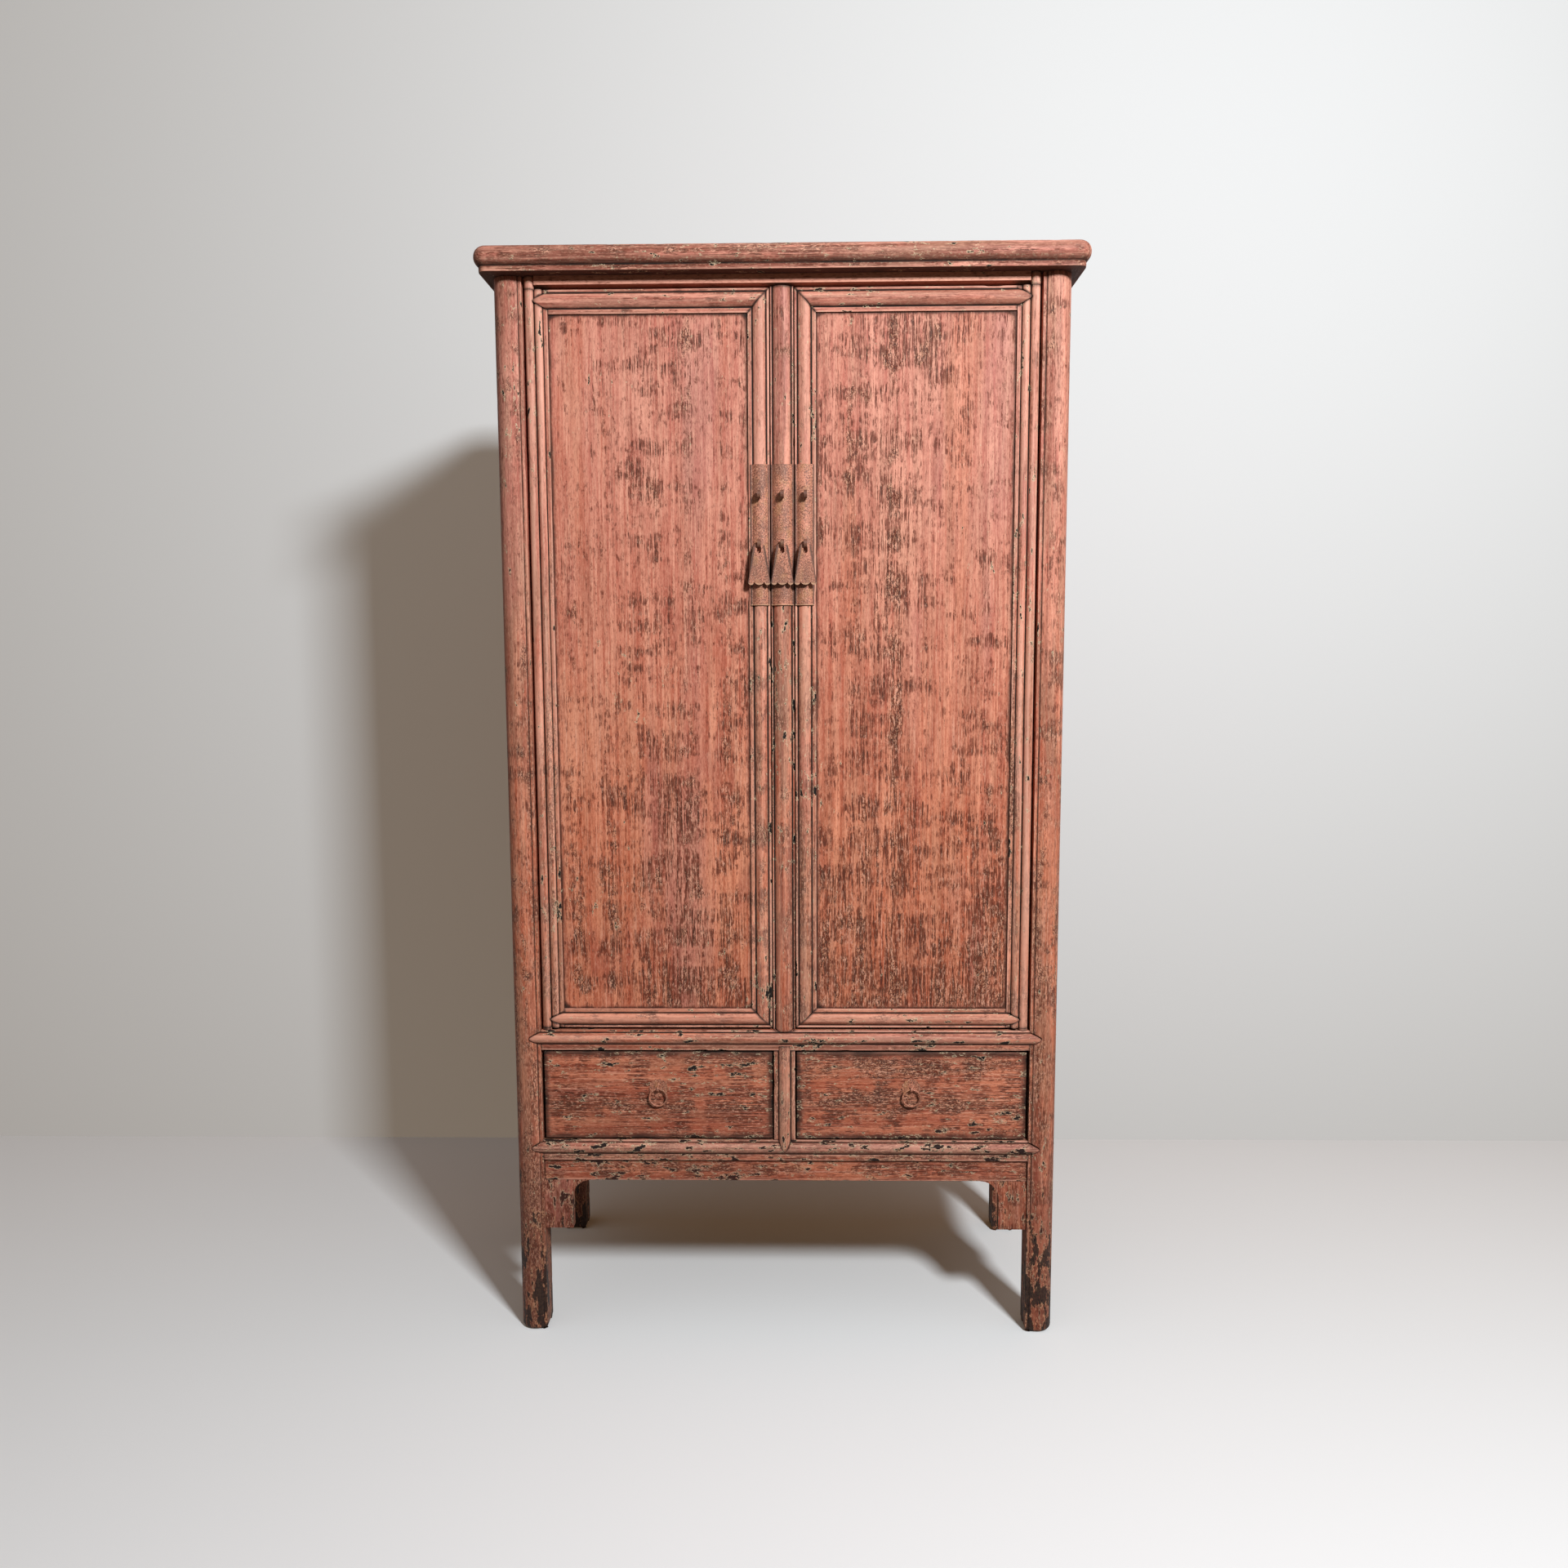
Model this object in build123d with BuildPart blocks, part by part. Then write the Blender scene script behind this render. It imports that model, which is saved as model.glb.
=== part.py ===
from build123d import *
import os

# Driving dimensions, mm
body_width = 970.0  # across the legs, left to right
body_depth = 440.0  # across the legs, front to back
overall_height = 1900.0
top_thick = 43.0
top_member = 80.0  # width of the mitred top frame members
side_overhang = 25.0
end_overhang = 30.0  # front and back
leg = 50.0  # square of the leg section
leg_strip = 7.0  # flat strip beside the round of the leg
leg_recess = 4.0  # how far that strip lies behind the crest
foot_round = 9.0

apron_height = 39.5
bracket_drop = 90.5
bracket_width = 50.0
bracket_arc = 33.0
board_thick = 18.0  # aprons and brackets
apron_setback = 9.0
leg_clear = 192.5  # floor to the brackets
low_rail_height = 38.0
drawer_opening = 166.0
mid_rail_height = 36.5
top_rail_height = 14.5
rail_depth = 40.0
rail_setback = 4.0  # flat of the rails, behind the crest of the legs
rail_bead = 22.0
rail_rise = 6.0
rail_edge = 4.0  # flat above the bead
nose_length = 20.0
side_rail = 30.0  # thickness of side and back rails
side_setback = 4.0
high_rail_height = 50.0  # side and back top rails
panel_thick = 10.0
panel_tongue = 7.0
panel_setback = 7.0  # side and back panels, behind their rails
tenon_thick = 12.0
tenon_length = 21.0
tenon_shoulder = 5.0

door_setback = 3.0  # crest of the door mouldings, behind the crest of the legs
door_thick = 30.0
outer_stile = 38.0
meeting_stile = 36.0
door_top_rail = 40.0
door_bottom_rail = 34.0
door_rise = 5.0
door_panel_setback = 8.0
pivot_radius = 8.0  # round band on the outer stile, about the pivot axis
pin_radius = 4.5
pin_length = 10.0
batten_height = 34.0
centre_stile = 39.0
centre_edge = 3.5
centre_rise = 8.0
divider = 38.0
divider_bead = 22.0
divider_lap = 9.5  # rounded top end of the divider's bead, over the flat of the mid rail
centre_lap = 3.4  # rounded foot of the centre stile, let into the top of the mid rail
lap_round = 3.0
muntin = 44.0

drawer_thick = 18.0
drawer_setback = 5.0
drawer_side = 12.0
drawer_headroom = 25.7  # drawer sides to the mid rail
drawer_back_gap = 11.0  # drawers to the back rails
drawer_bottom = 8.0
shelf_thick = 15.0
shelf_levels = (419.0, 839.0)  # shelf tops above the deck
bearer = 24.0
deck_thick = 16.0
runner_height = 24.0
runner_width = 30.0

plate_height = 236.0
plate_drop = 288.5  # top of the doors to the plates
plate_thick = 1.3
plate_roll = 1.0  # how far the rolled lower edge stands out
plate_roll_height = 2.4
nail_radius = 1.5
nail_height = 0.7
centre_plate_width = 38.0
edge_round = 1.4  # eased front edges of drawer fronts and aprons
staple_drops = (51.0, 133.0)  # top of the plates to the lock staple and to the pendant's staple
staple_width = 5.6
staple_radius = 7.2
staple_hole = 4.6
staple_reach = 7.5  # plate face to the centre of the eye
shank_height = 4.0
shank_length = 18.0
pendant_thick = 1.6
pendant_neck = 19.0
pendant_drop = 67.0
pendant_strip = 4.2
pull_rise = 97.0  # low rail to the pull staples
pull_plate_radius = 17.0
pull_plate_thick = 1.6
pull_lobes = 14
pull_eye_radius = 4.6
pull_eye_hole = 2.5
pull_eye_width = 4.0
pull_reach = 5.5
ring_radius = 15.4
ring_wire = 1.7

# Clearances, mm
door_side_gap = 4.0
door_bottom_gap = 4.4
door_top_gap = 7.0
meeting_gap = 1.8
drawer_side_gap = 5.0
drawer_divider_gap = 2.5
drawer_edge_gap = 3.2
run_gap = 0.3  # pieces that slide or rest on another body
pin_gap = 0.1
notch_gap = 1.2
lift_gap = 4.5  # centre stile to the top rail
lift_tenon = 3.5
tongue_gap = 1.0
plate_gap = 0.15
pendant_gap = 1.3  # between the feet of two pendants side by side
glue_gap = 0.2  # joint line between two pieces of one group
quirk = 1.2  # depth of the groove at the foot of a bead

# Levels and lines that follow from them
half_width = body_width / 2
half_depth = body_depth / 2
front = -half_depth
leg_top = overall_height - top_thick
leg_inner_x = half_width - leg
leg_inner_y = half_depth - leg
apron_bottom = leg_clear + bracket_drop
low_rail_bottom = apron_bottom + apron_height
low_rail_top = low_rail_bottom + low_rail_height
mid_rail_bottom = low_rail_top + drawer_opening
mid_rail_top = mid_rail_bottom + mid_rail_height
top_rail_bottom = leg_top - top_rail_height
rail_face = front + rail_setback
rail_back = rail_face + rail_depth
door_front = front + door_setback
door_face = door_front + door_rise
door_back = door_front + door_thick
door_bottom = mid_rail_top + door_bottom_gap
door_top = top_rail_bottom - door_top_gap
door_outer_x = leg_inner_x - door_side_gap
door_inner_x = centre_stile / 2 + meeting_gap
door_plate_width = meeting_stile - 4.0
staple_x = door_inner_x + meeting_stile / 2
pendant_width = staple_x - pendant_gap
pivot_x = door_outer_x - pivot_radius
pivot_y = door_front + pivot_radius
inner_rail_y = half_depth - side_setback - side_rail  # inner face of the back rails
inner_rail_x = half_width - side_setback - side_rail
panel_inner_x = half_width - side_setback - panel_setback - panel_thick
panel_inner_y = half_depth - side_setback - panel_setback - panel_thick

sides = {"left": -1, "right": 1}
os.makedirs("parts", exist_ok=True)


def save(piece, name):
    piece.part.label = name
    export_step(piece.part, f"parts/{name}.step")


def box_between(low, high, mode=Mode.ADD):
    # a box from its lowest to its highest corner
    size = [b - a for a, b in zip(low, high)]
    with Locations(tuple((a + b) / 2 for a, b in zip(low, high))):
        Box(*size, mode=mode)


def moulded_section(width, depth, low_edge, high_edge, rise):
    # a bar section with a half-round bead on its front, between two flats, with a quirk at each foot
    middle = (low_edge + width - high_edge) / 2
    with BuildLine() as outline:
        Polyline((low_edge, depth - quirk), (low_edge - quirk, depth), (0, depth), (0, 0), (width, 0),
                 (width, depth), (width - high_edge + quirk, depth), (width - high_edge, depth - quirk))
        ThreePointArc((low_edge, depth - quirk), (middle, depth + rise), (width - high_edge, depth - quirk))
    make_face(outline.edges())


def rail_section(height, depth):
    # section of a beaded rail: a narrow flat above its bead and a wider one below
    moulded_section(height, depth, height - rail_edge - rail_bead, rail_edge, rail_rise)


def sheet_section(start, end, low_edge, high_edge, depth, rise, thick):
    # thin sheet dressed over the same bead, standing a hair clear of the wood
    middle = (low_edge + high_edge) / 2
    inside = depth + plate_gap
    outside = inside + thick
    with BuildLine() as outline:
        Polyline((low_edge, inside), (start, inside), (start, outside), (low_edge - thick / 2, outside))
        ThreePointArc((low_edge - thick / 2, outside), (middle, outside + rise),
                      (high_edge + thick / 2, outside))
        Polyline((high_edge + thick / 2, outside), (end, outside), (end, inside), (high_edge, inside))
        ThreePointArc((high_edge, inside), (middle, inside + rise), (low_edge, inside))
    make_face(outline.edges())


def nose_outline(width, length, root):
    # pointed end of a bead seen from the front, its tip along +X of the sketch
    with BuildLine() as outline:
        Polyline((0, width / 2), (-root, width / 2), (-root, -width / 2), (0, -width / 2))
        ThreePointArc((0, -width / 2), (length * 0.62, -width * 0.27), (length, 0))
        ThreePointArc((length, 0), (length * 0.62, width * 0.27), (0, width / 2))
    make_face(outline.edges())


def lap_outline(width, length, root):
    # rounded end of a bead seen from the front, its tip along +X of the sketch
    with BuildLine() as outline:
        Polyline((length - lap_round, width / 2), (-root, width / 2), (-root, -width / 2),
                 (length - lap_round, -width / 2))
        ThreePointArc((length - lap_round, -width / 2), (length, 0), (length - lap_round, width / 2))
    make_face(outline.edges())


def across(x, y, z):
    # sketch plane for a bar that runs along +X: sketch x is up, sketch y is to the front
    return Plane(origin=(x, y, z), x_dir=(0, 0, 1), z_dir=(1, 0, 0))


def down(x, y, z):
    # sketch plane for a bar that runs down: sketch x is to the right, sketch y is to the front
    return Plane(origin=(x, y, z), x_dir=(1, 0, 0), z_dir=(0, 0, -1))


def facing(x, y, z, along=(1, 0, 0)):
    # sketch plane seen from the front, its normal to the front and sketch x along the given direction
    return Plane(origin=(x, y, z), x_dir=along, z_dir=(0, -1, 0))


# Places shared by the joints of the carcass
tenon_inset = 14.0
tenon_front = half_depth - tenon_inset  # outer face of the tenons of the front and back rails
tenon_side = half_width - tenon_inset
top_rail_depth = 34.0
top_tenon_inset = 22.0
stub_half = 10.0
stub_length = 10.0
centre_tenon_half = 7.0
centre_tenon_front = door_front + 11.0
centre_tenon_thick = 10.0
socket_depth = pin_length + 0.5
lap_back = door_front + 10.0  # back of the centre stile's rounded foot
bead_middle = rail_edge + rail_bead / 2  # down from the top of a rail to the middle of its bead
muntin_half = muntin / 2
high_rail_bottom = leg_top - high_rail_height
rail_levels = ((low_rail_bottom, low_rail_height), (mid_rail_bottom, mid_rail_height),
               (high_rail_bottom, high_rail_height))
panel_levels = ((low_rail_top, mid_rail_bottom), (mid_rail_top, high_rail_bottom))
leg_round = 26.0
leg_step = 1.2
leg_tenon = 22.0
leg_tenon_length = 16.0


def nose_block(root, depth, bead=rail_bead):
    # the pointed outline of a nose as a block in front of the XZ plane, its tip along +X
    with BuildPart() as block:
        with BuildSketch(Plane.XZ):
            nose_outline(bead, nose_length, root)
        extrude(amount=depth)
    return block.part


def nose_place(origin, tip, outward):
    # location that turns a nose's tip and crest to the given directions
    across_nose = Vector(tip).cross(-Vector(outward))
    return Plane(origin=origin, x_dir=tip, z_dir=across_nose).location


def rail_nose_places(side, end, middle):
    # the two noses that a leg receives at one level: from the side rail and, in front, from the front rail
    side_face = side * (half_width - rail_setback)
    places = [nose_place((side_face, end * leg_inner_y, middle), (0, end, 0), (side, 0, 0))]
    if end < 0:
        places.append(nose_place((side * leg_inner_x, rail_face, middle), (side, 0, 0), (0, -1, 0)))
    return places


def centre_mortise(low_z, high_z):
    # the hole that a tenon of the centre stile slides in
    box_between((-centre_tenon_half - run_gap, centre_tenon_front - run_gap, low_z),
                (centre_tenon_half + run_gap, centre_tenon_front + centre_tenon_thick + run_gap, high_z),
                Mode.SUBTRACT)


with BuildPart() as nose:
    add(nose_block(0.5, rail_rise + 1))
    with BuildSketch(Plane.YZ.offset(-1)):
        with BuildLine():
            Polyline((quirk, rail_bead / 2), (quirk + 1, 0), (quirk, -rail_bead / 2))
            ThreePointArc((quirk, -rail_bead / 2), (-rail_rise, 0), (quirk, rail_bead / 2))
        make_face()
    extrude(amount=nose_length + 2, mode=Mode.INTERSECT)

pocket = nose_block(1, rail_rise + 1)
divider_top_place = nose_place((0, rail_face, low_rail_top), (0, 0, -1), (0, -1, 0))

# Front rails and the divider post between the drawers
carcass = {}
divider_flat = (divider - divider_bead) / 2
with BuildPart() as divider_end:
    with BuildSketch(facing(0, rail_face + quirk, mid_rail_bottom, (0, 0, 1))):
        lap_outline(divider_bead, divider_lap, 0.5)
    extrude(amount=rail_rise + 2 * quirk)
    with BuildSketch(down(-divider / 2, rail_back, mid_rail_bottom + divider_lap + 1)):
        moulded_section(divider, rail_depth, divider_flat, divider_flat, rail_rise)
    extrude(amount=divider_lap + 2, mode=Mode.INTERSECT)

with BuildPart() as drawer_divider:
    with BuildSketch(down(-divider / 2, rail_back, mid_rail_bottom)):
        moulded_section(divider, rail_depth, divider_flat, divider_flat, rail_rise)
    extrude(amount=drawer_opening)
    add(divider_end.part)
    add(nose.part.moved(divider_top_place))
    box_between((-stub_half, -tenon_front, low_rail_top - stub_length),
                (stub_half, -tenon_front + tenon_thick, mid_rail_bottom + stub_length))
save(drawer_divider, "drawer_divider")

for rail_name, (rail_bottom, rail_height) in zip(("low", "mid"), rail_levels):
    rail_top = rail_bottom + rail_height
    with BuildPart() as rail:
        with BuildSketch(across(-leg_inner_x, rail_back, rail_bottom)):
            rail_section(rail_height, rail_depth)
        extrude(amount=2 * leg_inner_x)
        box_between((-leg_inner_x - tenon_length, -tenon_front, rail_bottom + tenon_shoulder),
                    (leg_inner_x + tenon_length, -tenon_front + tenon_thick, rail_top - tenon_shoulder))
        for side in sides.values():
            add(nose.part.moved(nose_place((side * leg_inner_x, rail_face, rail_top - bead_middle),
                                           (side, 0, 0), (0, -1, 0))))
        if rail_name == "low":
            add(pocket.moved(divider_top_place), mode=Mode.SUBTRACT)
        else:
            centre_mortise(rail_top - lift_tenon - 1, rail_top)
            with BuildSketch(facing(0, lap_back + run_gap, rail_top, (0, 0, -1))):
                lap_outline(centre_stile - 2 * centre_edge + 2 * run_gap, centre_lap + run_gap, 1)
            extrude(amount=lap_back - front + rail_rise, mode=Mode.SUBTRACT)
            with Locations((-pivot_x, pivot_y, rail_top), (pivot_x, pivot_y, rail_top)):
                Hole(pin_radius + pin_gap, depth=socket_depth)
        add(drawer_divider.part, mode=Mode.SUBTRACT)
    save(rail, f"front_{rail_name}_rail")
    carcass[f"front_{rail_name}_rail"] = rail.part

with BuildPart() as front_top_rail:
    box_between((-leg_inner_x, rail_face, top_rail_bottom),
                (leg_inner_x, rail_face + top_rail_depth, leg_top))
    box_between((-leg_inner_x - tenon_length, front + top_tenon_inset, top_rail_bottom + 3),
                (leg_inner_x + tenon_length, front + top_tenon_inset + tenon_thick, leg_top - 3))
    notch = door_side_gap + 2 * pivot_radius + notch_gap
    for side in sides.values():
        low_x, high_x = sorted((side * leg_inner_x, side * (leg_inner_x - notch)))
        box_between((low_x, rail_face - 1, top_rail_bottom - 1),
                    (high_x, pivot_y + pivot_radius + notch_gap, leg_top + 1), Mode.SUBTRACT)
    centre_mortise(top_rail_bottom - 1, leg_top + 1)
save(front_top_rail, "front_top_rail")
carcass["front_top_rail"] = front_top_rail.part


# Sides and back: rails with floating panels in their grooves
def side_panel_boxes(side, extra, mode=Mode.ADD):
    low_x, high_x = sorted((side * panel_inner_x, side * (panel_inner_x + panel_thick)))
    grow = panel_tongue + extra
    for low, high in panel_levels:
        box_between((low_x, -leg_inner_y - grow, low - grow), (high_x, leg_inner_y + grow, high + grow), mode)


def back_panel_boxes(extra, mode=Mode.ADD):
    grow = panel_tongue + extra
    spans = [(-leg_inner_x, leg_inner_x, panel_levels[0]), (-leg_inner_x, -muntin_half, panel_levels[1]),
             (muntin_half, leg_inner_x, panel_levels[1])]
    for low_x, high_x, (low, high) in spans:
        box_between((low_x - grow, panel_inner_y, low - grow),
                    (high_x + grow, panel_inner_y + panel_thick, high + grow), mode)


for side_name, side in sides.items():
    with BuildPart() as side_panels:
        side_panel_boxes(side, 0)
    save(side_panels, f"side_panels_{side_name}")

    with BuildPart() as side_rails:
        for rail_bottom, rail_height in rail_levels:
            beaded = rail_bottom < high_rail_bottom
            with BuildSketch(Plane(origin=(side * inner_rail_x, -side * leg_inner_y, rail_bottom),
                                   x_dir=(0, 0, 1), z_dir=(0, side, 0))):
                if beaded:
                    rail_section(rail_height, side_rail)
                else:
                    Rectangle(rail_height, side_rail, align=(Align.MIN, Align.MIN))
            extrude(amount=2 * leg_inner_y)
            low_x, high_x = sorted((side * tenon_side, side * (tenon_side - tenon_thick)))
            box_between((low_x, -leg_inner_y - tenon_length, rail_bottom + tenon_shoulder),
                        (high_x, leg_inner_y + tenon_length, rail_bottom + rail_height - tenon_shoulder))
            if beaded:
                middle = rail_bottom + rail_height - bead_middle
                for end in (-1, 1):
                    add(nose.part.moved(rail_nose_places(side, end, middle)[0]))
        side_panel_boxes(side, tongue_gap, Mode.SUBTRACT)
    save(side_rails, f"side_rails_{side_name}")
    carcass[f"side_rails_{side_name}"] = side_rails.part

with BuildPart() as back_panels:
    back_panel_boxes(0)
save(back_panels, "back_panels")

back_face = half_depth - side_setback
with BuildPart() as back_muntin:
    box_between((-muntin_half, inner_rail_y, mid_rail_top), (muntin_half, back_face, high_rail_bottom))
    box_between((-stub_half, tenon_front - tenon_thick, mid_rail_top - stub_length),
                (stub_half, tenon_front, high_rail_bottom + stub_length))
    back_panel_boxes(tongue_gap, Mode.SUBTRACT)
save(back_muntin, "back_muntin")

with BuildPart() as back_rails:
    for rail_bottom, rail_height in rail_levels:
        box_between((-leg_inner_x, inner_rail_y, rail_bottom),
                    (leg_inner_x, back_face, rail_bottom + rail_height))
        box_between((-leg_inner_x - tenon_length, tenon_front - tenon_thick, rail_bottom + tenon_shoulder),
                    (leg_inner_x + tenon_length, tenon_front, rail_bottom + rail_height - tenon_shoulder))
    back_panel_boxes(tongue_gap, Mode.SUBTRACT)
    add(back_muntin.part, mode=Mode.SUBTRACT)
save(back_rails, "back_rails")
carcass["back_rails"] = back_rails.part


# Legs: round outside and square inside, with the same section on the front and on the side
def leg_envelope(side, end):
    # the square blank of a leg with the edges of its foot rounded off
    corner_x = sorted((side * half_width, side * leg_inner_x))
    corner_y = sorted((end * half_depth, end * leg_inner_y))
    with BuildPart() as blank:
        box_between((corner_x[0], corner_y[0], 0), (corner_x[1], corner_y[1], leg_top))
        fillet(blank.faces().sort_by(Axis.Z)[0].edges(), foot_round)
    return blank.part


for end_name, end in (("front", -1), ("back", 1)):
    for side_name, side in sides.items():
        turn = -side * end
        centre_x = side * (half_width - leg / 2)
        centre_y = end * (half_depth - leg / 2)
        step = leg - leg_recess + leg_step
        blank = leg_envelope(side, end)
        with BuildPart() as leg_part:
            with BuildSketch(Plane(origin=(side * half_width, end * leg_inner_y, 0), x_dir=(-side, 0, 0),
                                   z_dir=(0, 0, turn))):
                with BuildLine():
                    Polyline((leg - leg_strip, step), (leg - leg_strip, leg - leg_recess),
                             (leg, leg - leg_recess), (leg, 0), (leg_recess, 0), (leg_recess, leg_strip),
                             (leg - step, leg_strip))
                    TangentArc((leg_round, leg), (leg - leg_strip, step), tangent=(1, 0))
                    CenterArc((leg_round, leg - leg_round), leg_round, 90, 90)
                    TangentArc((0, leg - leg_round), (leg - step, leg_strip), tangent=(0, -1))
                make_face()
            extrude(amount=turn * leg_top)
            add(blank, mode=Mode.INTERSECT)
            box_between((centre_x - leg_tenon / 2, centre_y - leg_tenon / 2, leg_top - 1),
                        (centre_x + leg_tenon / 2, centre_y + leg_tenon / 2, leg_top + leg_tenon_length))
            for rail_bottom, rail_height in rail_levels[:2]:
                for place in rail_nose_places(side, end, rail_bottom + rail_height - bead_middle):
                    add(pocket.moved(place), mode=Mode.SUBTRACT)
            joined = [f"side_rails_{side_name}"]
            joined += ["front_low_rail", "front_mid_rail", "front_top_rail"] if end < 0 else ["back_rails"]
            for rail_name in joined:
                add(carcass[rail_name], mode=Mode.SUBTRACT)
            side_panel_boxes(side, tongue_gap, Mode.SUBTRACT)
            if end > 0:
                back_panel_boxes(tongue_gap, Mode.SUBTRACT)
        save(leg_part, f"leg_{end_name}_{side_name}")
        carcass[f"leg_{end_name}_{side_name}"] = leg_part.part

# Aprons under the low rails, with a bracket at each leg
side_apron_out = half_width - apron_setback
front_apron_out = half_depth - apron_setback


def bracket_outline():
    # bracket seen square on: its back edge at x = 0, its top at y = 0, its lower corner hollowed
    with BuildLine() as outline:
        Polyline((bracket_width + bracket_arc, 0), (0, 0), (0, -bracket_drop), (bracket_width, -bracket_drop),
                 (bracket_width, -bracket_arc))
        RadiusArc((bracket_width, -bracket_arc), (bracket_width + bracket_arc, 0), bracket_arc)
    make_face(outline.edges())


with BuildPart() as front_apron:
    box_between((-leg_inner_x, -front_apron_out, apron_bottom),
                (leg_inner_x, -front_apron_out + board_thick, low_rail_bottom))
    fillet(front_apron.faces().sort_by(Axis.Z)[0].edges().sort_by(Axis.Y)[0], edge_round)
save(front_apron, "front_apron")

with BuildPart() as front_brackets:
    for side in sides.values():
        with BuildSketch(Plane(origin=(side * leg_inner_x, -front_apron_out, apron_bottom),
                               x_dir=(-side, 0, 0), z_dir=(0, side, 0))):
            bracket_outline()
        extrude(amount=side * board_thick)
save(front_brackets, "front_brackets")

with BuildPart() as side_aprons:
    for side in sides.values():
        low_x, high_x = sorted((side * side_apron_out, side * (side_apron_out - board_thick)))
        box_between((low_x, -leg_inner_y, apron_bottom), (high_x, leg_inner_y, low_rail_bottom))
        for end in (-1, 1):
            with BuildSketch(Plane(origin=(side * side_apron_out, end * leg_inner_y, apron_bottom - glue_gap),
                                   x_dir=(0, -end, 0), z_dir=(-end, 0, 0))):
                bracket_outline()
            extrude(amount=end * side * board_thick)
save(side_aprons, "side_aprons")

# Top: a mitred frame with a thumb-moulded edge, a floating panel and two battens under it
top_band = 7.0  # flat band under the moulding
top_band_setback = 8.0
top_corner = 22.0
top_panel_thick = 12.0
top_panel_drop = 1.0
top_batten_width = 40.0
top_batten_drop = 20.0
top_batten_x = 140.0  # middle of the top to the near edge of a batten
top_half_x = half_width + side_overhang
top_half_y = half_depth + end_overhang
opening_x = top_half_x - top_member
opening_y = top_half_y - top_member
top_panel_low = overall_height - top_panel_drop - top_panel_thick
thumb = (top_thick - top_band) / 2 - 0.5


def top_panel_box(extra, mode=Mode.ADD):
    grow = panel_tongue + extra
    box_between((-opening_x, -opening_y, top_panel_low),
                (opening_x, opening_y, overall_height - top_panel_drop), mode)
    box_between((-opening_x - grow, -opening_y - grow, top_panel_low),
                (opening_x + grow, opening_y + grow, top_panel_low + top_panel_thick / 2), mode)


with BuildPart() as top_panel:
    top_panel_box(0)
    for side in sides.values():
        low_x, high_x = sorted((side * top_batten_x, side * (top_batten_x + top_batten_width)))
        box_between((low_x, -opening_y - panel_tongue, top_panel_low - top_batten_drop),
                    (high_x, opening_y + panel_tongue, top_panel_low - glue_gap))
save(top_panel, "top_panel")

with BuildPart() as top_ring:
    with BuildSketch(Plane.XY.offset(leg_top + top_band)):
        RectangleRounded(2 * top_half_x, 2 * top_half_y, top_corner)
    extrude(amount=top_thick - top_band)
    fillet(top_ring.faces().filter_by(Axis.Z).edges(), thumb)
    with BuildSketch(Plane.XY.offset(leg_top)):
        RectangleRounded(2 * (top_half_x - top_band_setback), 2 * (top_half_y - top_band_setback),
                         top_corner - top_band_setback)
    extrude(amount=top_band + thumb)
    box_between((-opening_x, -opening_y, leg_top - 1), (opening_x, opening_y, overall_height + 1),
                Mode.SUBTRACT)
    top_panel_box(tongue_gap, Mode.SUBTRACT)
    add(top_panel.part, mode=Mode.SUBTRACT)
    for leg_name in [name for name in carcass if name.startswith("leg_")]:
        add(carcass[leg_name], mode=Mode.SUBTRACT)
    with BuildSketch(Plane.XY.offset(leg_top)):
        with Locations((-pivot_x, pivot_y), (pivot_x, pivot_y)):
            Circle(pin_radius + pin_gap)
    extrude(amount=socket_depth, mode=Mode.SUBTRACT)



def top_member_cut(facing_x, facing_y):
    # one member of the ring, cut out by the mitres at its two ends
    with BuildPart() as member:
        add(top_ring.part)
        split(bisect_by=Plane(origin=(0, 0, 0), z_dir=(facing_x, facing_y, 0)), keep=Keep.TOP)
        for hand in (-1, 1):
            corner_x = facing_x or hand
            corner_y = facing_y or hand
            toward = (2 * facing_x - corner_x, 2 * facing_y - corner_y, 0)
            mitre = Plane(origin=(corner_x * top_half_x, corner_y * top_half_y, leg_top), z_dir=toward)
            split(bisect_by=mitre, keep=Keep.TOP)
    return member.part


for member_name, directions in (("front", [(0, -1)]), ("back", [(0, 1)]), ("ends", [(-1, 0), (1, 0)])):
    with BuildPart() as top_member_part:
        for facing_x, facing_y in directions:
            add(top_member_cut(facing_x, facing_y))
    save(top_member_part, f"top_frame_{member_name}")

# Floor of the door compartment, shelves and what carries them
deck_top = mid_rail_top - 2.0
shelf_front = door_back + 3.0
shelf_side = panel_inner_x - 0.5
shelf_back = inner_rail_y - 0.5
shelf_tops = [deck_top + level for level in shelf_levels]


def board(low_z, thickness, low_y, high_y, reach_x):
    # a board that fills the plan between the side panels, notched round the legs
    box_between((-reach_x, low_y, low_z), (reach_x, high_y, low_z + thickness))
    for side in sides.values():
        for end in (-1, 1):
            low_x, high_x = sorted((side * leg_inner_x, side * (half_width + 1)))
            leg_low_y, leg_high_y = sorted((end * leg_inner_y, end * (half_depth + 1)))
            box_between((low_x, leg_low_y, low_z - 1), (high_x, leg_high_y, low_z + thickness + 1),
                        Mode.SUBTRACT)


with BuildPart() as deck_board:
    board(deck_top - deck_thick, deck_thick, rail_back, inner_rail_y, inner_rail_x)
save(deck_board, "deck_board")

with BuildPart() as shelves:
    for shelf_top in shelf_tops:
        board(shelf_top - shelf_thick, shelf_thick, shelf_front, shelf_back, shelf_side)
save(shelves, "shelves")

with BuildPart() as shelf_bearers:
    for shelf_top in shelf_tops:
        for side in sides.values():
            low_x, high_x = sorted((side * shelf_side, side * (shelf_side - bearer)))
            box_between((low_x, -leg_inner_y, shelf_top - shelf_thick - bearer),
                        (high_x, leg_inner_y, shelf_top - shelf_thick))
save(shelf_bearers, "shelf_bearers")

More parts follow.
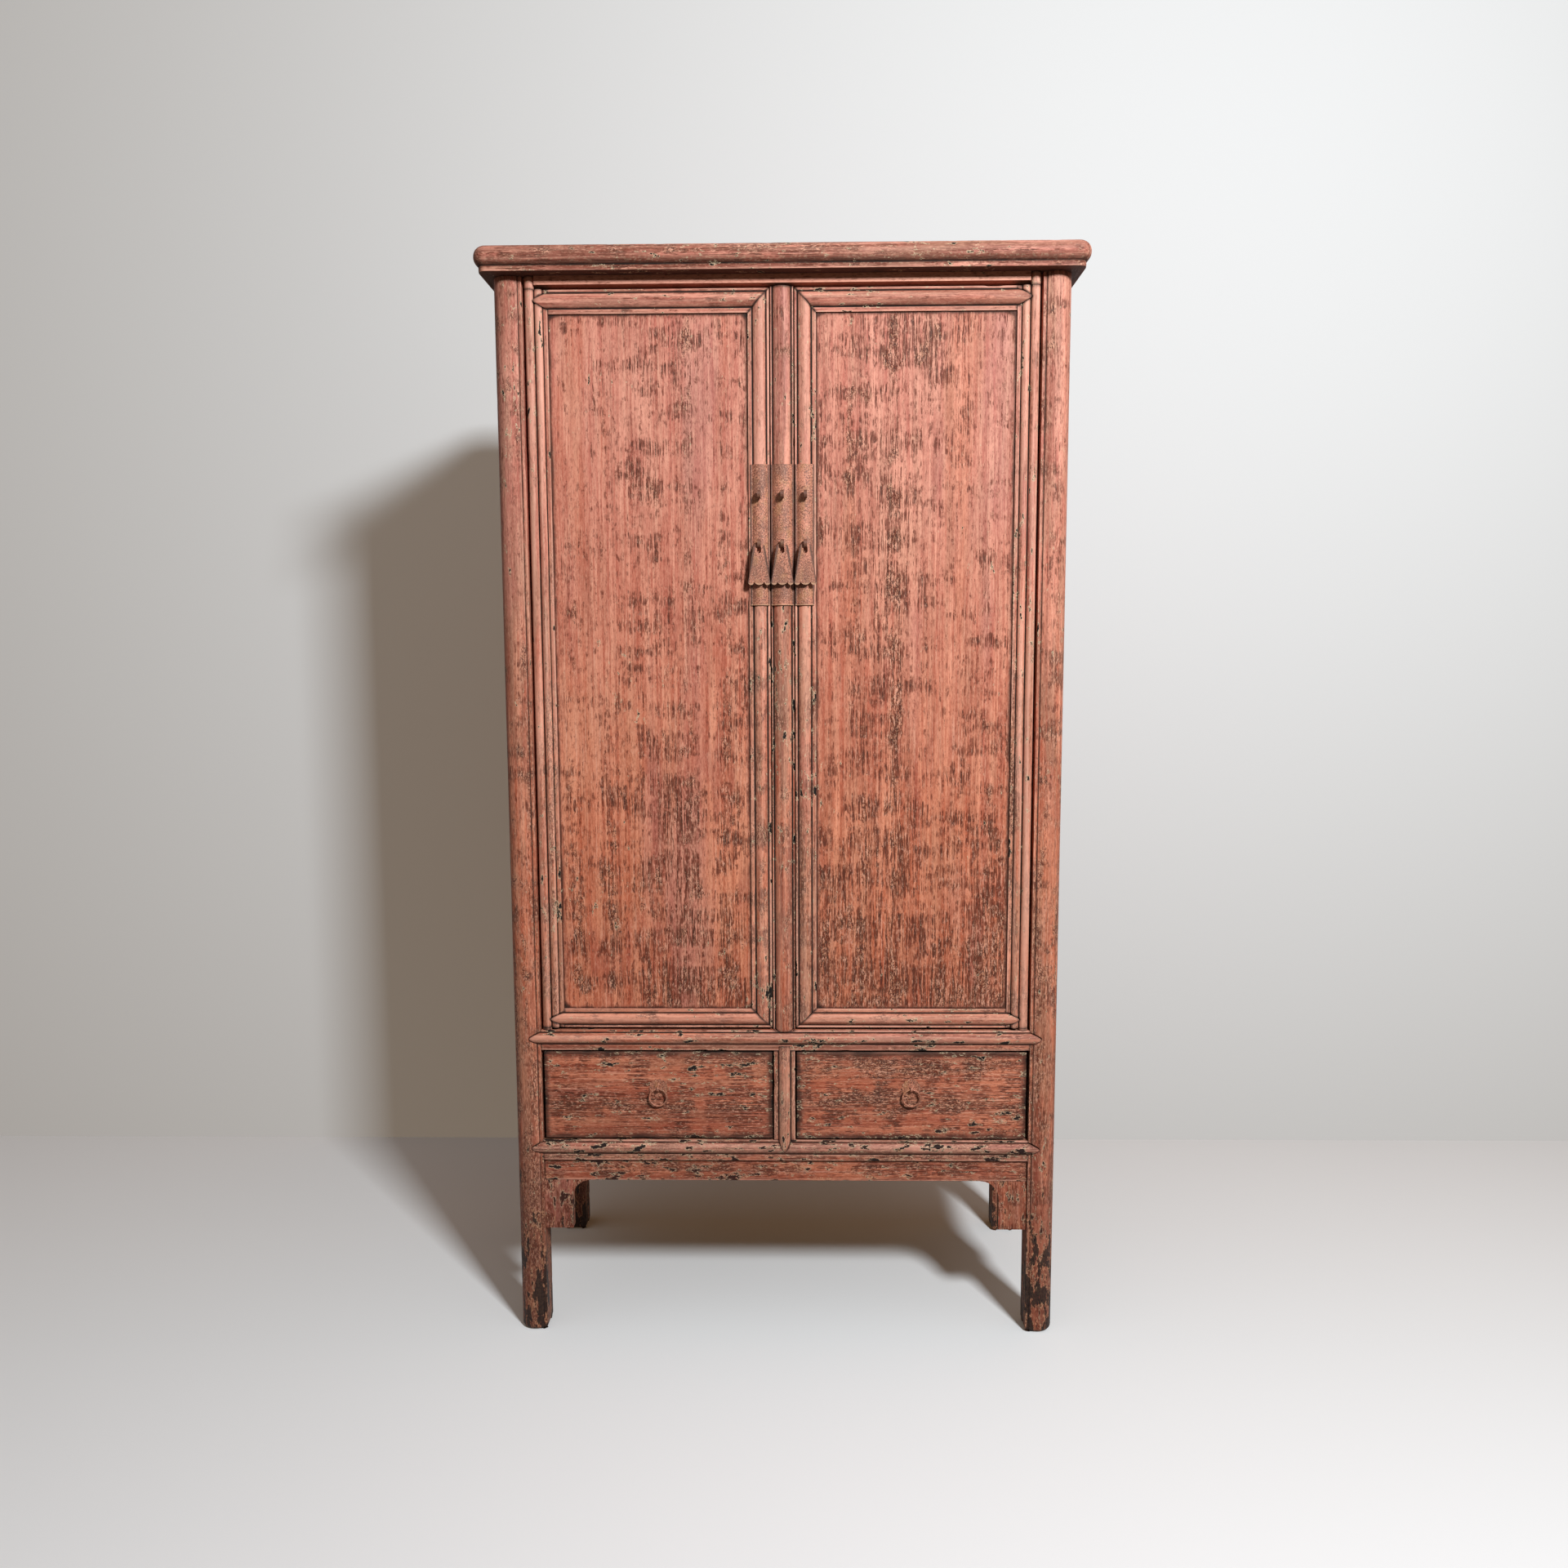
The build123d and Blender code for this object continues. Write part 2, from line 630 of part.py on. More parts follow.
# Drawer runners: ledges level with the low rail, with a guide beside each drawer
guide_height = 30.0
drawer_low_x = divider / 2 + drawer_divider_gap
drawer_high_x = leg_inner_x - drawer_side_gap
box_inset = 3.0  # drawer sides stand in from the ends of the drawer front
guide_gap = 1.0
runner_back = inner_rail_y

with BuildPart() as drawer_runners:
    for side in sides.values():
        wall = drawer_high_x - box_inset + guide_gap
        low_x, high_x = sorted((side * (drawer_high_x - box_inset - runner_width / 2), side * inner_rail_x))
        box_between((low_x, rail_back, low_rail_top - runner_height), (high_x, runner_back, low_rail_top))
        low_x, high_x = sorted((side * wall, side * inner_rail_x))
        box_between((low_x, -leg_inner_y, low_rail_top), (high_x, leg_inner_y, low_rail_top + guide_height))
    guide_half = drawer_low_x + box_inset - guide_gap
    box_between((-guide_half - runner_width / 2, rail_back, low_rail_top - runner_height),
                (guide_half + runner_width / 2, runner_back, low_rail_top))
    box_between((-guide_half, rail_back, low_rail_top),
                (guide_half, runner_back, low_rail_top + guide_height))
    for leg_name in [name for name in carcass if name.startswith("leg_")]:
        add(carcass[leg_name], mode=Mode.SUBTRACT)
save(drawer_runners, "drawer_runners")

# Doors. The left one is drawn, and the right one is its mirror image.
door_outer = -door_outer_x
stile_inner = door_outer + outer_stile
panel_edge = -door_inner_x - meeting_stile
door_flat = 0.13  # share of a moulding's width that is flat at its outer edge
door_inner_flat = 0.21  # share that is flat beside the panel
door_panel_y = door_front + door_panel_setback
door_panel_thick = 10.0
panel_low = door_bottom + door_bottom_rail
panel_high = door_top - door_top_rail
section_depth = door_back - door_face
groove_gap = 1.0
door_tenon = 22.0
door_tenon_thick = 10.0
door_tenon_inset = 4.0  # from the back of the door
stile_round = 6.0
stile_bead_start = 2 * pivot_radius + 0.5
stile_bead = 14.0
door_nose = outer_stile - stile_bead_start + 1.5
batten_count = 3
batten_gap = 0.5


def door_panel_box(extra, mode=Mode.ADD):
    grow = panel_tongue + extra
    box_between((stile_inner - grow, door_panel_y, panel_low - grow),
                (panel_edge + grow, door_panel_y + door_panel_thick, panel_high + grow), mode)


def door_rail_section(name, height):
    flats = [height * door_flat, height * door_inner_flat]
    if name == "top":
        flats.reverse()
    moulded_section(height, section_depth, *flats, door_rise)


def mitre_plane(outer_z, inner_z):
    # through the outer and inner corners of the frame at the meeting stile, its normal away from the stile
    along = Vector(-door_inner_x - panel_edge, 0, outer_z - inner_z)
    normal = along.cross(Vector(0, 1, 0))
    return Plane(origin=(panel_edge, 0, inner_z), z_dir=normal * (1 if outer_z > inner_z else -1))


door = {}
nose_cuts = []
mitres = {"top": mitre_plane(door_top, panel_high), "bottom": mitre_plane(door_bottom, panel_low)}

with BuildPart() as door_panel:
    door_panel_box(0)
door["panel"] = door_panel.part

for rail_name, rail_low, rail_height in (("top", panel_high, door_top_rail),
                                         ("bottom", door_bottom, door_bottom_rail)):
    bead = rail_height * (1 - door_flat - door_inner_flat)
    low_flat = rail_height * (door_inner_flat if rail_name == "top" else door_flat)
    tip_plane = facing(stile_inner, door_face, rail_low + low_flat + bead / 2, (-1, 0, 0))
    with BuildPart() as nose_cut:
        with BuildSketch(tip_plane):
            nose_outline(bead, door_nose, 1)
        extrude(amount=door_rise + 1)
    nose_cuts.append(nose_cut.part)
    with BuildPart() as door_tip:
        with BuildSketch(tip_plane):
            nose_outline(bead, door_nose, 0.5)
        extrude(amount=door_rise + 1)
        with BuildSketch(across(door_outer, door_back, rail_low)):
            door_rail_section(rail_name, rail_height)
        extrude(amount=outer_stile + 1, mode=Mode.INTERSECT)
    with BuildPart() as door_rail:
        with BuildSketch(across(stile_inner, door_back, rail_low)):
            door_rail_section(rail_name, rail_height)
        extrude(amount=-door_inner_x - stile_inner)
        split(bisect_by=mitres[rail_name], keep=Keep.TOP)
        add(door_tip.part)
        box_between((stile_inner - door_tenon, door_back - door_tenon_inset - door_tenon_thick,
                     rail_low + tenon_shoulder),
                    (stile_inner, door_back - door_tenon_inset, rail_low + rail_height - tenon_shoulder))
        door_panel_box(groove_gap, Mode.SUBTRACT)
    door[f"{rail_name}_rail"] = door_rail.part

with BuildPart() as outer_stile_part:
    band_depth = door_thick - pivot_radius
    groove_y = section_depth - quirk
    groove_x = (pivot_radius ** 2 - (groove_y - band_depth) ** 2) ** 0.5 + pivot_radius
    bead_end = stile_bead_start + stile_bead
    with BuildSketch(down(door_outer, door_back, door_top)):
        with BuildLine():
            ThreePointArc((0, band_depth), (pivot_radius, door_thick), (groove_x, groove_y))
            Line((groove_x, groove_y), (stile_bead_start, groove_y))
            ThreePointArc((stile_bead_start, groove_y), (stile_bead_start + stile_bead / 2, door_thick),
                          (bead_end, groove_y))
            Polyline((bead_end, groove_y), (bead_end + quirk, section_depth), (outer_stile, section_depth),
                     (outer_stile, 0), (stile_round, 0))
            RadiusArc((stile_round, 0), (0, stile_round), stile_round)
            Line((0, stile_round), (0, band_depth))
        make_face()
    extrude(amount=door_top - door_bottom)
    with BuildSketch(Plane.XY.offset(mid_rail_top + run_gap)):
        with Locations((-pivot_x, pivot_y)):
            Circle(pivot_radius)
    extrude(amount=leg_top - mid_rail_top - 2 * run_gap)
    with BuildSketch(Plane.XY.offset(mid_rail_top + run_gap - pin_length)):
        with Locations((-pivot_x, pivot_y)):
            Circle(pin_radius)
    extrude(amount=leg_top - mid_rail_top - 2 * run_gap + 2 * pin_length)
    for cut in nose_cuts:
        add(cut, mode=Mode.SUBTRACT)
    add(door["top_rail"], mode=Mode.SUBTRACT)
    add(door["bottom_rail"], mode=Mode.SUBTRACT)
    door_panel_box(groove_gap, Mode.SUBTRACT)
door["outer_stile"] = outer_stile_part.part

with BuildPart() as meeting_stile_part:
    with BuildSketch(down(panel_edge, door_back, door_top)):
        moulded_section(meeting_stile, section_depth, meeting_stile * door_inner_flat,
                        meeting_stile * door_flat, door_rise)
    extrude(amount=door_top - door_bottom)
    for mitre in mitres.values():
        split(bisect_by=mitre, keep=Keep.BOTTOM)
    door_panel_box(groove_gap, Mode.SUBTRACT)
door["meeting_stile"] = meeting_stile_part.part

with BuildPart() as door_battens:
    spacing = (panel_high - panel_low) / batten_count
    for number in range(batten_count):
        middle_z = panel_low + spacing * (number + 0.5)
        box_between((stile_inner + batten_gap, door_panel_y + door_panel_thick, middle_z - batten_height / 2),
                    (panel_edge - batten_gap, door_back, middle_z + batten_height / 2))
door["battens"] = door_battens.part


# Iron work: face plates over the three stiles, staples through them, pendants on the lower staples
def staple(place, radius, hole, width, reach, shank):
    # an eye of flat strap on edge, in front of the given point of a plate, with a shank driven in behind it
    x, y, z = place
    with BuildPart() as eye:
        with BuildSketch(Plane.YZ.offset(x - width / 2)):
            with Locations((y - reach, z)):
                Circle(radius)
            with Locations(((2 * y - reach + shank) / 2, z)):
                Rectangle(shank + reach, shank_height)
            with Locations((y - reach, z)):
                Circle(hole, mode=Mode.SUBTRACT)
        extrude(amount=width)
    return eye.part


def face_plate(origin_x, start, end, low_edge, high_edge, depth, rise, staples):
    # a sheet dressed over a stile, its lower edge rolled out, with a nail near each corner
    plate_bottom = plate_top - plate_height
    with BuildPart() as plate:
        for top_z, bottom_z, thick in ((plate_top, plate_bottom, plate_thick),
                                       (plate_bottom + plate_roll_height, plate_bottom,
                                        plate_thick + plate_roll)):
            with BuildSketch(down(origin_x, door_back, top_z)):
                sheet_section(start, end, low_edge, high_edge, depth, rise, thick)
            extrude(amount=top_z - bottom_z)
        for nail_x in (start + nail_inset, end - nail_inset):
            for nail_z in (plate_top - 3 * nail_inset, plate_bottom + 3 * nail_inset):
                with BuildSketch(facing(origin_x + nail_x, door_back - depth - plate_gap - plate_thick / 2,
                                        nail_z)):
                    Circle(nail_radius)
                extrude(amount=plate_thick / 2 + nail_height)
        add(staples, mode=Mode.SUBTRACT)
    return plate.part


def pendant(place):
    # a bell-shaped plate with a scalloped foot, hung by the strip above its hole from a staple's eye
    half_strip = pendant_strip / 2
    half_neck = pendant_neck / 2
    half_foot = pendant_width / 2
    cusp_x = 0.48 * half_foot
    cusp_y = 0.91 * pendant_drop
    corner_y = 0.93 * pendant_drop
    hole_half = staple_width / 2 + 0.7
    with BuildPart() as plate:
        with BuildSketch(Plane(origin=(place[0], place[1] + pendant_thick / 2, place[2]), x_dir=(1, 0, 0),
                               z_dir=(0, -1, 0))):
            with BuildLine():
                ThreePointArc((-half_neck, -half_strip), (0, half_strip + 1), (half_neck, -half_strip))
                for hand in (-1, 1):
                    Spline((hand * half_neck, -half_strip), (hand * half_foot * 0.67, -pendant_drop * 0.3),
                           (hand * half_foot * 0.82, -pendant_drop * 0.62), (hand * half_foot, -corner_y))
                    ThreePointArc((hand * half_foot, -corner_y), (hand * half_foot * 0.8, -pendant_drop),
                                  (hand * cusp_x, -cusp_y))
                ThreePointArc((-cusp_x, -cusp_y), (0, -pendant_drop), (cusp_x, -cusp_y))
            make_face()
            with Locations((0, -half_strip - pendant_hole / 2)):
                SlotOverall(pendant_hole, 2 * hole_half, rotation=90, mode=Mode.SUBTRACT)
            with Locations((0, -half_strip - hole_half / 2)):
                Rectangle(2 * hole_half, hole_half, mode=Mode.SUBTRACT)
        extrude(amount=pendant_thick)
    return plate.part


pendant_hole = 12.0
pendant_hang = staple_hole - pendant_strip / 2 - 0.4  # pivot below the middle of the eye
plate_top = door_top - plate_drop
staple_heights = [plate_top - drop for drop in staple_drops]
pendant_height = staple_heights[1] - pendant_hang
centre_face = door_front - 1.0 + centre_rise
door_plate_y = door_front - plate_gap - plate_thick
centre_plate_y = centre_face - centre_rise - plate_gap - plate_thick
door_plate_inset = 0.7
nail_inset = 2.0

with BuildPart() as door_staples:
    for height in staple_heights:
        add(staple((-staple_x, door_plate_y, height), staple_radius, staple_hole, staple_width, staple_reach,
                   shank_length))
door["staples"] = door_staples.part

plate_end = meeting_stile - door_plate_inset
door["face_plate"] = face_plate(panel_edge, plate_end - door_plate_width, plate_end,
                                meeting_stile * door_inner_flat, meeting_stile * (1 - door_flat),
                                section_depth, door_rise, door["staples"])

with BuildPart() as stile_with_staples:
    add(door["meeting_stile"])
    add(door["staples"], mode=Mode.SUBTRACT)
door["meeting_stile"] = stile_with_staples.part
door["pendant"] = pendant((-staple_x, door_plate_y - staple_reach, pendant_height))

for piece_name, solid in door.items():
    with BuildPart() as left_piece:
        add(solid)
    with BuildPart() as right_piece:
        mirror(solid, about=Plane.YZ)
    save(left_piece, f"door_left_{piece_name}")
    save(right_piece, f"door_right_{piece_name}")

with BuildPart() as centre_staples:
    for height in staple_heights:
        add(staple((0, centre_plate_y, height), staple_radius, staple_hole, staple_width, staple_reach,
                   shank_length))
save(centre_staples, "centre_staples")

with BuildPart() as centre_foot:
    with BuildSketch(facing(0, lap_back, mid_rail_top + run_gap, (0, 0, -1))):
        lap_outline(centre_stile - 2 * centre_edge, centre_lap, 0.5)
    extrude(amount=lap_back - front)
    with BuildSketch(down(-centre_stile / 2, door_back, mid_rail_top + 2)):
        moulded_section(centre_stile, door_back - centre_face, centre_edge, centre_edge, centre_rise)
    extrude(amount=centre_lap + 3, mode=Mode.INTERSECT)

with BuildPart() as centre_stile_part:
    with BuildSketch(down(-centre_stile / 2, door_back, top_rail_bottom - lift_gap)):
        moulded_section(centre_stile, door_back - centre_face, centre_edge, centre_edge, centre_rise)
    extrude(amount=top_rail_bottom - lift_gap - mid_rail_top - run_gap)
    add(centre_foot.part)
    box_between((-centre_tenon_half, centre_tenon_front, mid_rail_top - lift_tenon),
                (centre_tenon_half, centre_tenon_front + centre_tenon_thick, top_rail_bottom + lift_gap))
    add(centre_staples.part, mode=Mode.SUBTRACT)
save(centre_stile_part, "centre_stile")

with BuildPart() as centre_plate:
    add(face_plate(-centre_stile / 2, (centre_stile - centre_plate_width) / 2,
                   (centre_stile + centre_plate_width) / 2, centre_edge, centre_stile - centre_edge,
                   door_back - centre_face, centre_rise, centre_staples.part))
save(centre_plate, "centre_plate")

with BuildPart() as centre_pendant:
    add(pendant((0, centre_plate_y - staple_reach, pendant_height)))
save(centre_pendant, "centre_pendant")

# Drawers with their pulls
drawer_front_y = front + drawer_setback
box_front = drawer_front_y + drawer_thick
box_back = inner_rail_y - drawer_back_gap
box_low = low_rail_top + run_gap
box_high = mid_rail_bottom - drawer_headroom
pull_height = low_rail_top + pull_rise
bottom_low = box_low + 6.0
groove = 5.0
boss_radius = 8.0
boss_height = 1.2
lobe_radius = 4.2

for side_name, side in sides.items():
    low_x, high_x = sorted((side * drawer_low_x, side * drawer_high_x))
    wall_low = low_x + box_inset
    wall_high = high_x - box_inset
    centre_x = (low_x + high_x) / 2
    pull_y = drawer_front_y - pull_plate_thick
    eye = staple((centre_x, pull_y, pull_height), pull_eye_radius, pull_eye_hole, pull_eye_width, pull_reach,
                 drawer_thick - 2)

    with BuildPart() as drawer_bottom_part:
        box_between((wall_low + drawer_side - groove, box_front - groove, bottom_low),
                    (wall_high - drawer_side + groove, box_back, bottom_low + drawer_bottom))
    save(drawer_bottom_part, f"drawer_{side_name}_bottom")

    with BuildPart() as drawer_box:
        for inner in (wall_low, wall_high - drawer_side):
            box_between((inner, box_front, box_low), (inner + drawer_side, box_back, box_high))
        box_between((wall_low + drawer_side + glue_gap, box_back - drawer_side, bottom_low + drawer_bottom),
                    (wall_high - drawer_side - glue_gap, box_back, box_high))
        add(drawer_bottom_part.part, mode=Mode.SUBTRACT)
    save(drawer_box, f"drawer_{side_name}_box")

    with BuildPart() as pull_staple:
        add(eye)
    save(pull_staple, f"drawer_{side_name}_pull_staple")

    with BuildPart() as drawer_front_part:
        box_between((low_x, drawer_front_y, low_rail_top + drawer_edge_gap),
                    (high_x, box_front, mid_rail_bottom - drawer_edge_gap))
        fillet(drawer_front_part.faces().sort_by(Axis.Y)[0].edges(), edge_round)
        add(drawer_bottom_part.part, mode=Mode.SUBTRACT)
        add(eye, mode=Mode.SUBTRACT)
    save(drawer_front_part, f"drawer_{side_name}_front")

    with BuildPart() as pull_plate:
        with BuildSketch(facing(centre_x, drawer_front_y, pull_height)):
            Circle(pull_plate_radius - lobe_radius)
            with PolarLocations(pull_plate_radius - lobe_radius, pull_lobes):
                Circle(lobe_radius)
        extrude(amount=pull_plate_thick)
        with BuildSketch(facing(centre_x, pull_y, pull_height)):
            Circle(boss_radius)
        extrude(amount=boss_height, taper=30)
        add(eye, mode=Mode.SUBTRACT)
    save(pull_plate, f"drawer_{side_name}_pull_plate")

    with BuildPart() as pull_ring:
        ring_top = pull_height - (pull_eye_hole - ring_wire - 0.4)
        with BuildSketch(Plane.YZ.offset(centre_x)):
            with Locations((pull_y - pull_reach, ring_top)):
                Circle(ring_wire)
        revolve(axis=Axis((centre_x, pull_y - pull_reach, ring_top - ring_radius), (0, 1, 0)))
    save(pull_ring, f"drawer_{side_name}_pull_ring")
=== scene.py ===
import math

import bpy
import numpy as np
from mathutils import Matrix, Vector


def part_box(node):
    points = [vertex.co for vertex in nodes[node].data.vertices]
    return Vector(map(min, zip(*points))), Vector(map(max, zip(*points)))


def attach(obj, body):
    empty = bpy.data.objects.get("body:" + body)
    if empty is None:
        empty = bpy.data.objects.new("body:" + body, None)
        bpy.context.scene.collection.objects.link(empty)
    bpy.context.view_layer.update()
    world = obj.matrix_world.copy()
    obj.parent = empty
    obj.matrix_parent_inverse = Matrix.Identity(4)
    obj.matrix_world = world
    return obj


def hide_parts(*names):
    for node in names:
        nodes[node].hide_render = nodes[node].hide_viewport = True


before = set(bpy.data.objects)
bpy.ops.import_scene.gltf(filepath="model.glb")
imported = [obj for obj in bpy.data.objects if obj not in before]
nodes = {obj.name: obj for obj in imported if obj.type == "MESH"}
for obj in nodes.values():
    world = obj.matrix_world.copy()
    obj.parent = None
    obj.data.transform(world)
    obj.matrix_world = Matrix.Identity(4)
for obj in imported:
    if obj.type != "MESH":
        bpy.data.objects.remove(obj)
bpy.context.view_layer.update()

scene = bpy.context.scene
mm = 0.001


def tint(red, green, blue):
    # screen colour, 0 to 255, made linear: value / 12.92 near black, else (value + 0.055) / 1.055
    # to the power 2.4
    shares = np.array([red, green, blue]) / 255
    light = np.where(shares <= 0.04045, shares / 12.92, ((shares + 0.055) / 1.055) ** 2.4)
    return (*[float(part) for part in light], 1.0)


class ShaderTree:
    # short ways to put shader nodes together in one tree; each value is a number, a colour or a socket

    def __init__(self, data):
        self.data, self.nodes, self.base = data, data.nodes, None

    def plug(self, socket, value):
        if isinstance(value, bpy.types.NodeSocket):
            self.data.links.new(value, socket)
        else:
            socket.default_value = value

    def add(self, kind, sockets=None, **settings):
        node = self.nodes.new("ShaderNode" + kind)
        for key, value in settings.items():
            setattr(node, key, value)
        for key, value in (sockets or {}).items():
            self.plug(node.inputs[key], value)
        return node

    def calc(self, operation, first, second=0.0, third=0.0, clamp=False):
        node = self.add("Math", {0: first, 1: second, 2: third}, operation=operation, use_clamp=clamp)
        return node.outputs[0]

    def plus(self, first, second):
        return self.calc("ADD", first, second)

    def minus(self, first, second):
        return self.calc("SUBTRACT", first, second)

    def times(self, first, second, clamp=False):
        return self.calc("MULTIPLY", first, second, clamp=clamp)

    def timesPlus(self, first, second, third, clamp=False):
        return self.calc("MULTIPLY_ADD", first, second, third, clamp)

    def total(self, *parts, start=0.0):
        # value times share of each pair, added up
        for value, share in parts:
            start = self.timesPlus(value, share, start)
        return start

    def least(self, first, second):
        return self.calc("MINIMUM", first, second)

    def most(self, first, second):
        return self.calc("MAXIMUM", first, second)

    def absolute(self, value):
        return self.calc("ABSOLUTE", value)

    def ramp(self, value, low, high, fromValue=0.0, toValue=1.0):
        # smooth step from one value to the other while the input goes from low to high
        return self.add("MapRange", {"Value": value, "From Min": low, "From Max": high, "To Min": fromValue,
                                     "To Max": toValue}, interpolation_type="SMOOTHSTEP").outputs[0]

    def mix(self, factor, first, second):
        return self.add("Mix", {0: factor, 6: first, 7: second}, data_type="RGBA").outputs[2]

    def coat(self, over, mask, low=None, high=None, most=1.0):
        # lays a colour, or the paint colour of that name, over those before it; the mask may be ramped from low
        # to high, up to a share of most
        mask = mask if low is None else self.ramp(mask, low, high, 0.0, most)
        self.base = self.mix(mask, self.base, paintColours[over] if isinstance(over, str) else over)

    def noise(self, vector, scale, detail=3.0, roughness=0.5, distortion=0.0):
        # soft noise from 0 to 1; scale is cells a metre along each axis
        scaled = self.add("VectorMath", {0: vector, 1: scale}, operation="MULTIPLY").outputs[0]
        return self.add("TexNoise", {"Vector": scaled, "Scale": 1.0, "Detail": detail, "Roughness": roughness,
                                     "Distortion": distortion}).outputs[0]

    def warp(self, vector, scale, amount):
        # moves the coordinates about by a soft noise, so that straight lines waver
        scaled = self.add("VectorMath", {0: vector, 1: scale}, operation="MULTIPLY").outputs[0]
        field = self.add("TexNoise", {"Vector": scaled, "Scale": 1.0, "Detail": 2.0}).outputs[1]
        away = self.add("VectorMath", {0: field, 1: (0.5, 0.5, 0.5)}, operation="SUBTRACT").outputs[0]
        return self.add("VectorMath", {0: away, 1: amount, 2: vector}, operation="MULTIPLY_ADD").outputs[0]


def newGroup(name, **inputs):
    # a shader node group that gives out a colour, a roughness and a height for bumps; its inputs are Vector and
    # the ones given, each with its first value
    data = bpy.data.node_groups.new(name, "ShaderNodeTree")
    data.interface.new_socket(name="Vector", in_out="INPUT", socket_type="NodeSocketVector")
    for title, value in inputs.items():
        socket = data.interface.new_socket(name=title, in_out="INPUT", socket_type="NodeSocketFloat")
        socket.default_value = value
    for title, kind in (("Color", "Color"), ("Roughness", "Float"), ("Bump", "Float")):
        data.interface.new_socket(name=title, in_out="OUTPUT", socket_type="NodeSocket" + kind)
    return ShaderTree(data), data.nodes.new("NodeGroupInput").outputs, data.nodes.new("NodeGroupOutput").inputs


paintColours = {
    "topDark": tint(186, 104, 88), "topLight": tint(228, 158, 136),
    "midDark": tint(184, 94, 64), "midLight": tint(230, 148, 114),
    "lowDark": tint(152, 70, 49), "lowLight": tint(219, 134, 102),
    "red": tint(152, 66, 54), "mauve": tint(178, 118, 112), "orange": tint(204, 118, 82),
    "streak": tint(106, 46, 28), "streakDark": tint(64, 33, 22), "pale": tint(236, 172, 146),
    "cream": tint(214, 190, 158), "tan": tint(216, 158, 122), "chip": tint(24, 16, 14), "pit": tint(58, 32, 26),
    "grimeAndShade": tint(30, 19, 15), "low": tint(96, 46, 34), "brown": tint(134, 74, 58), "dust": tint(150, 126, 100),
    "rubAndHighlight": tint(236, 174, 152),
}


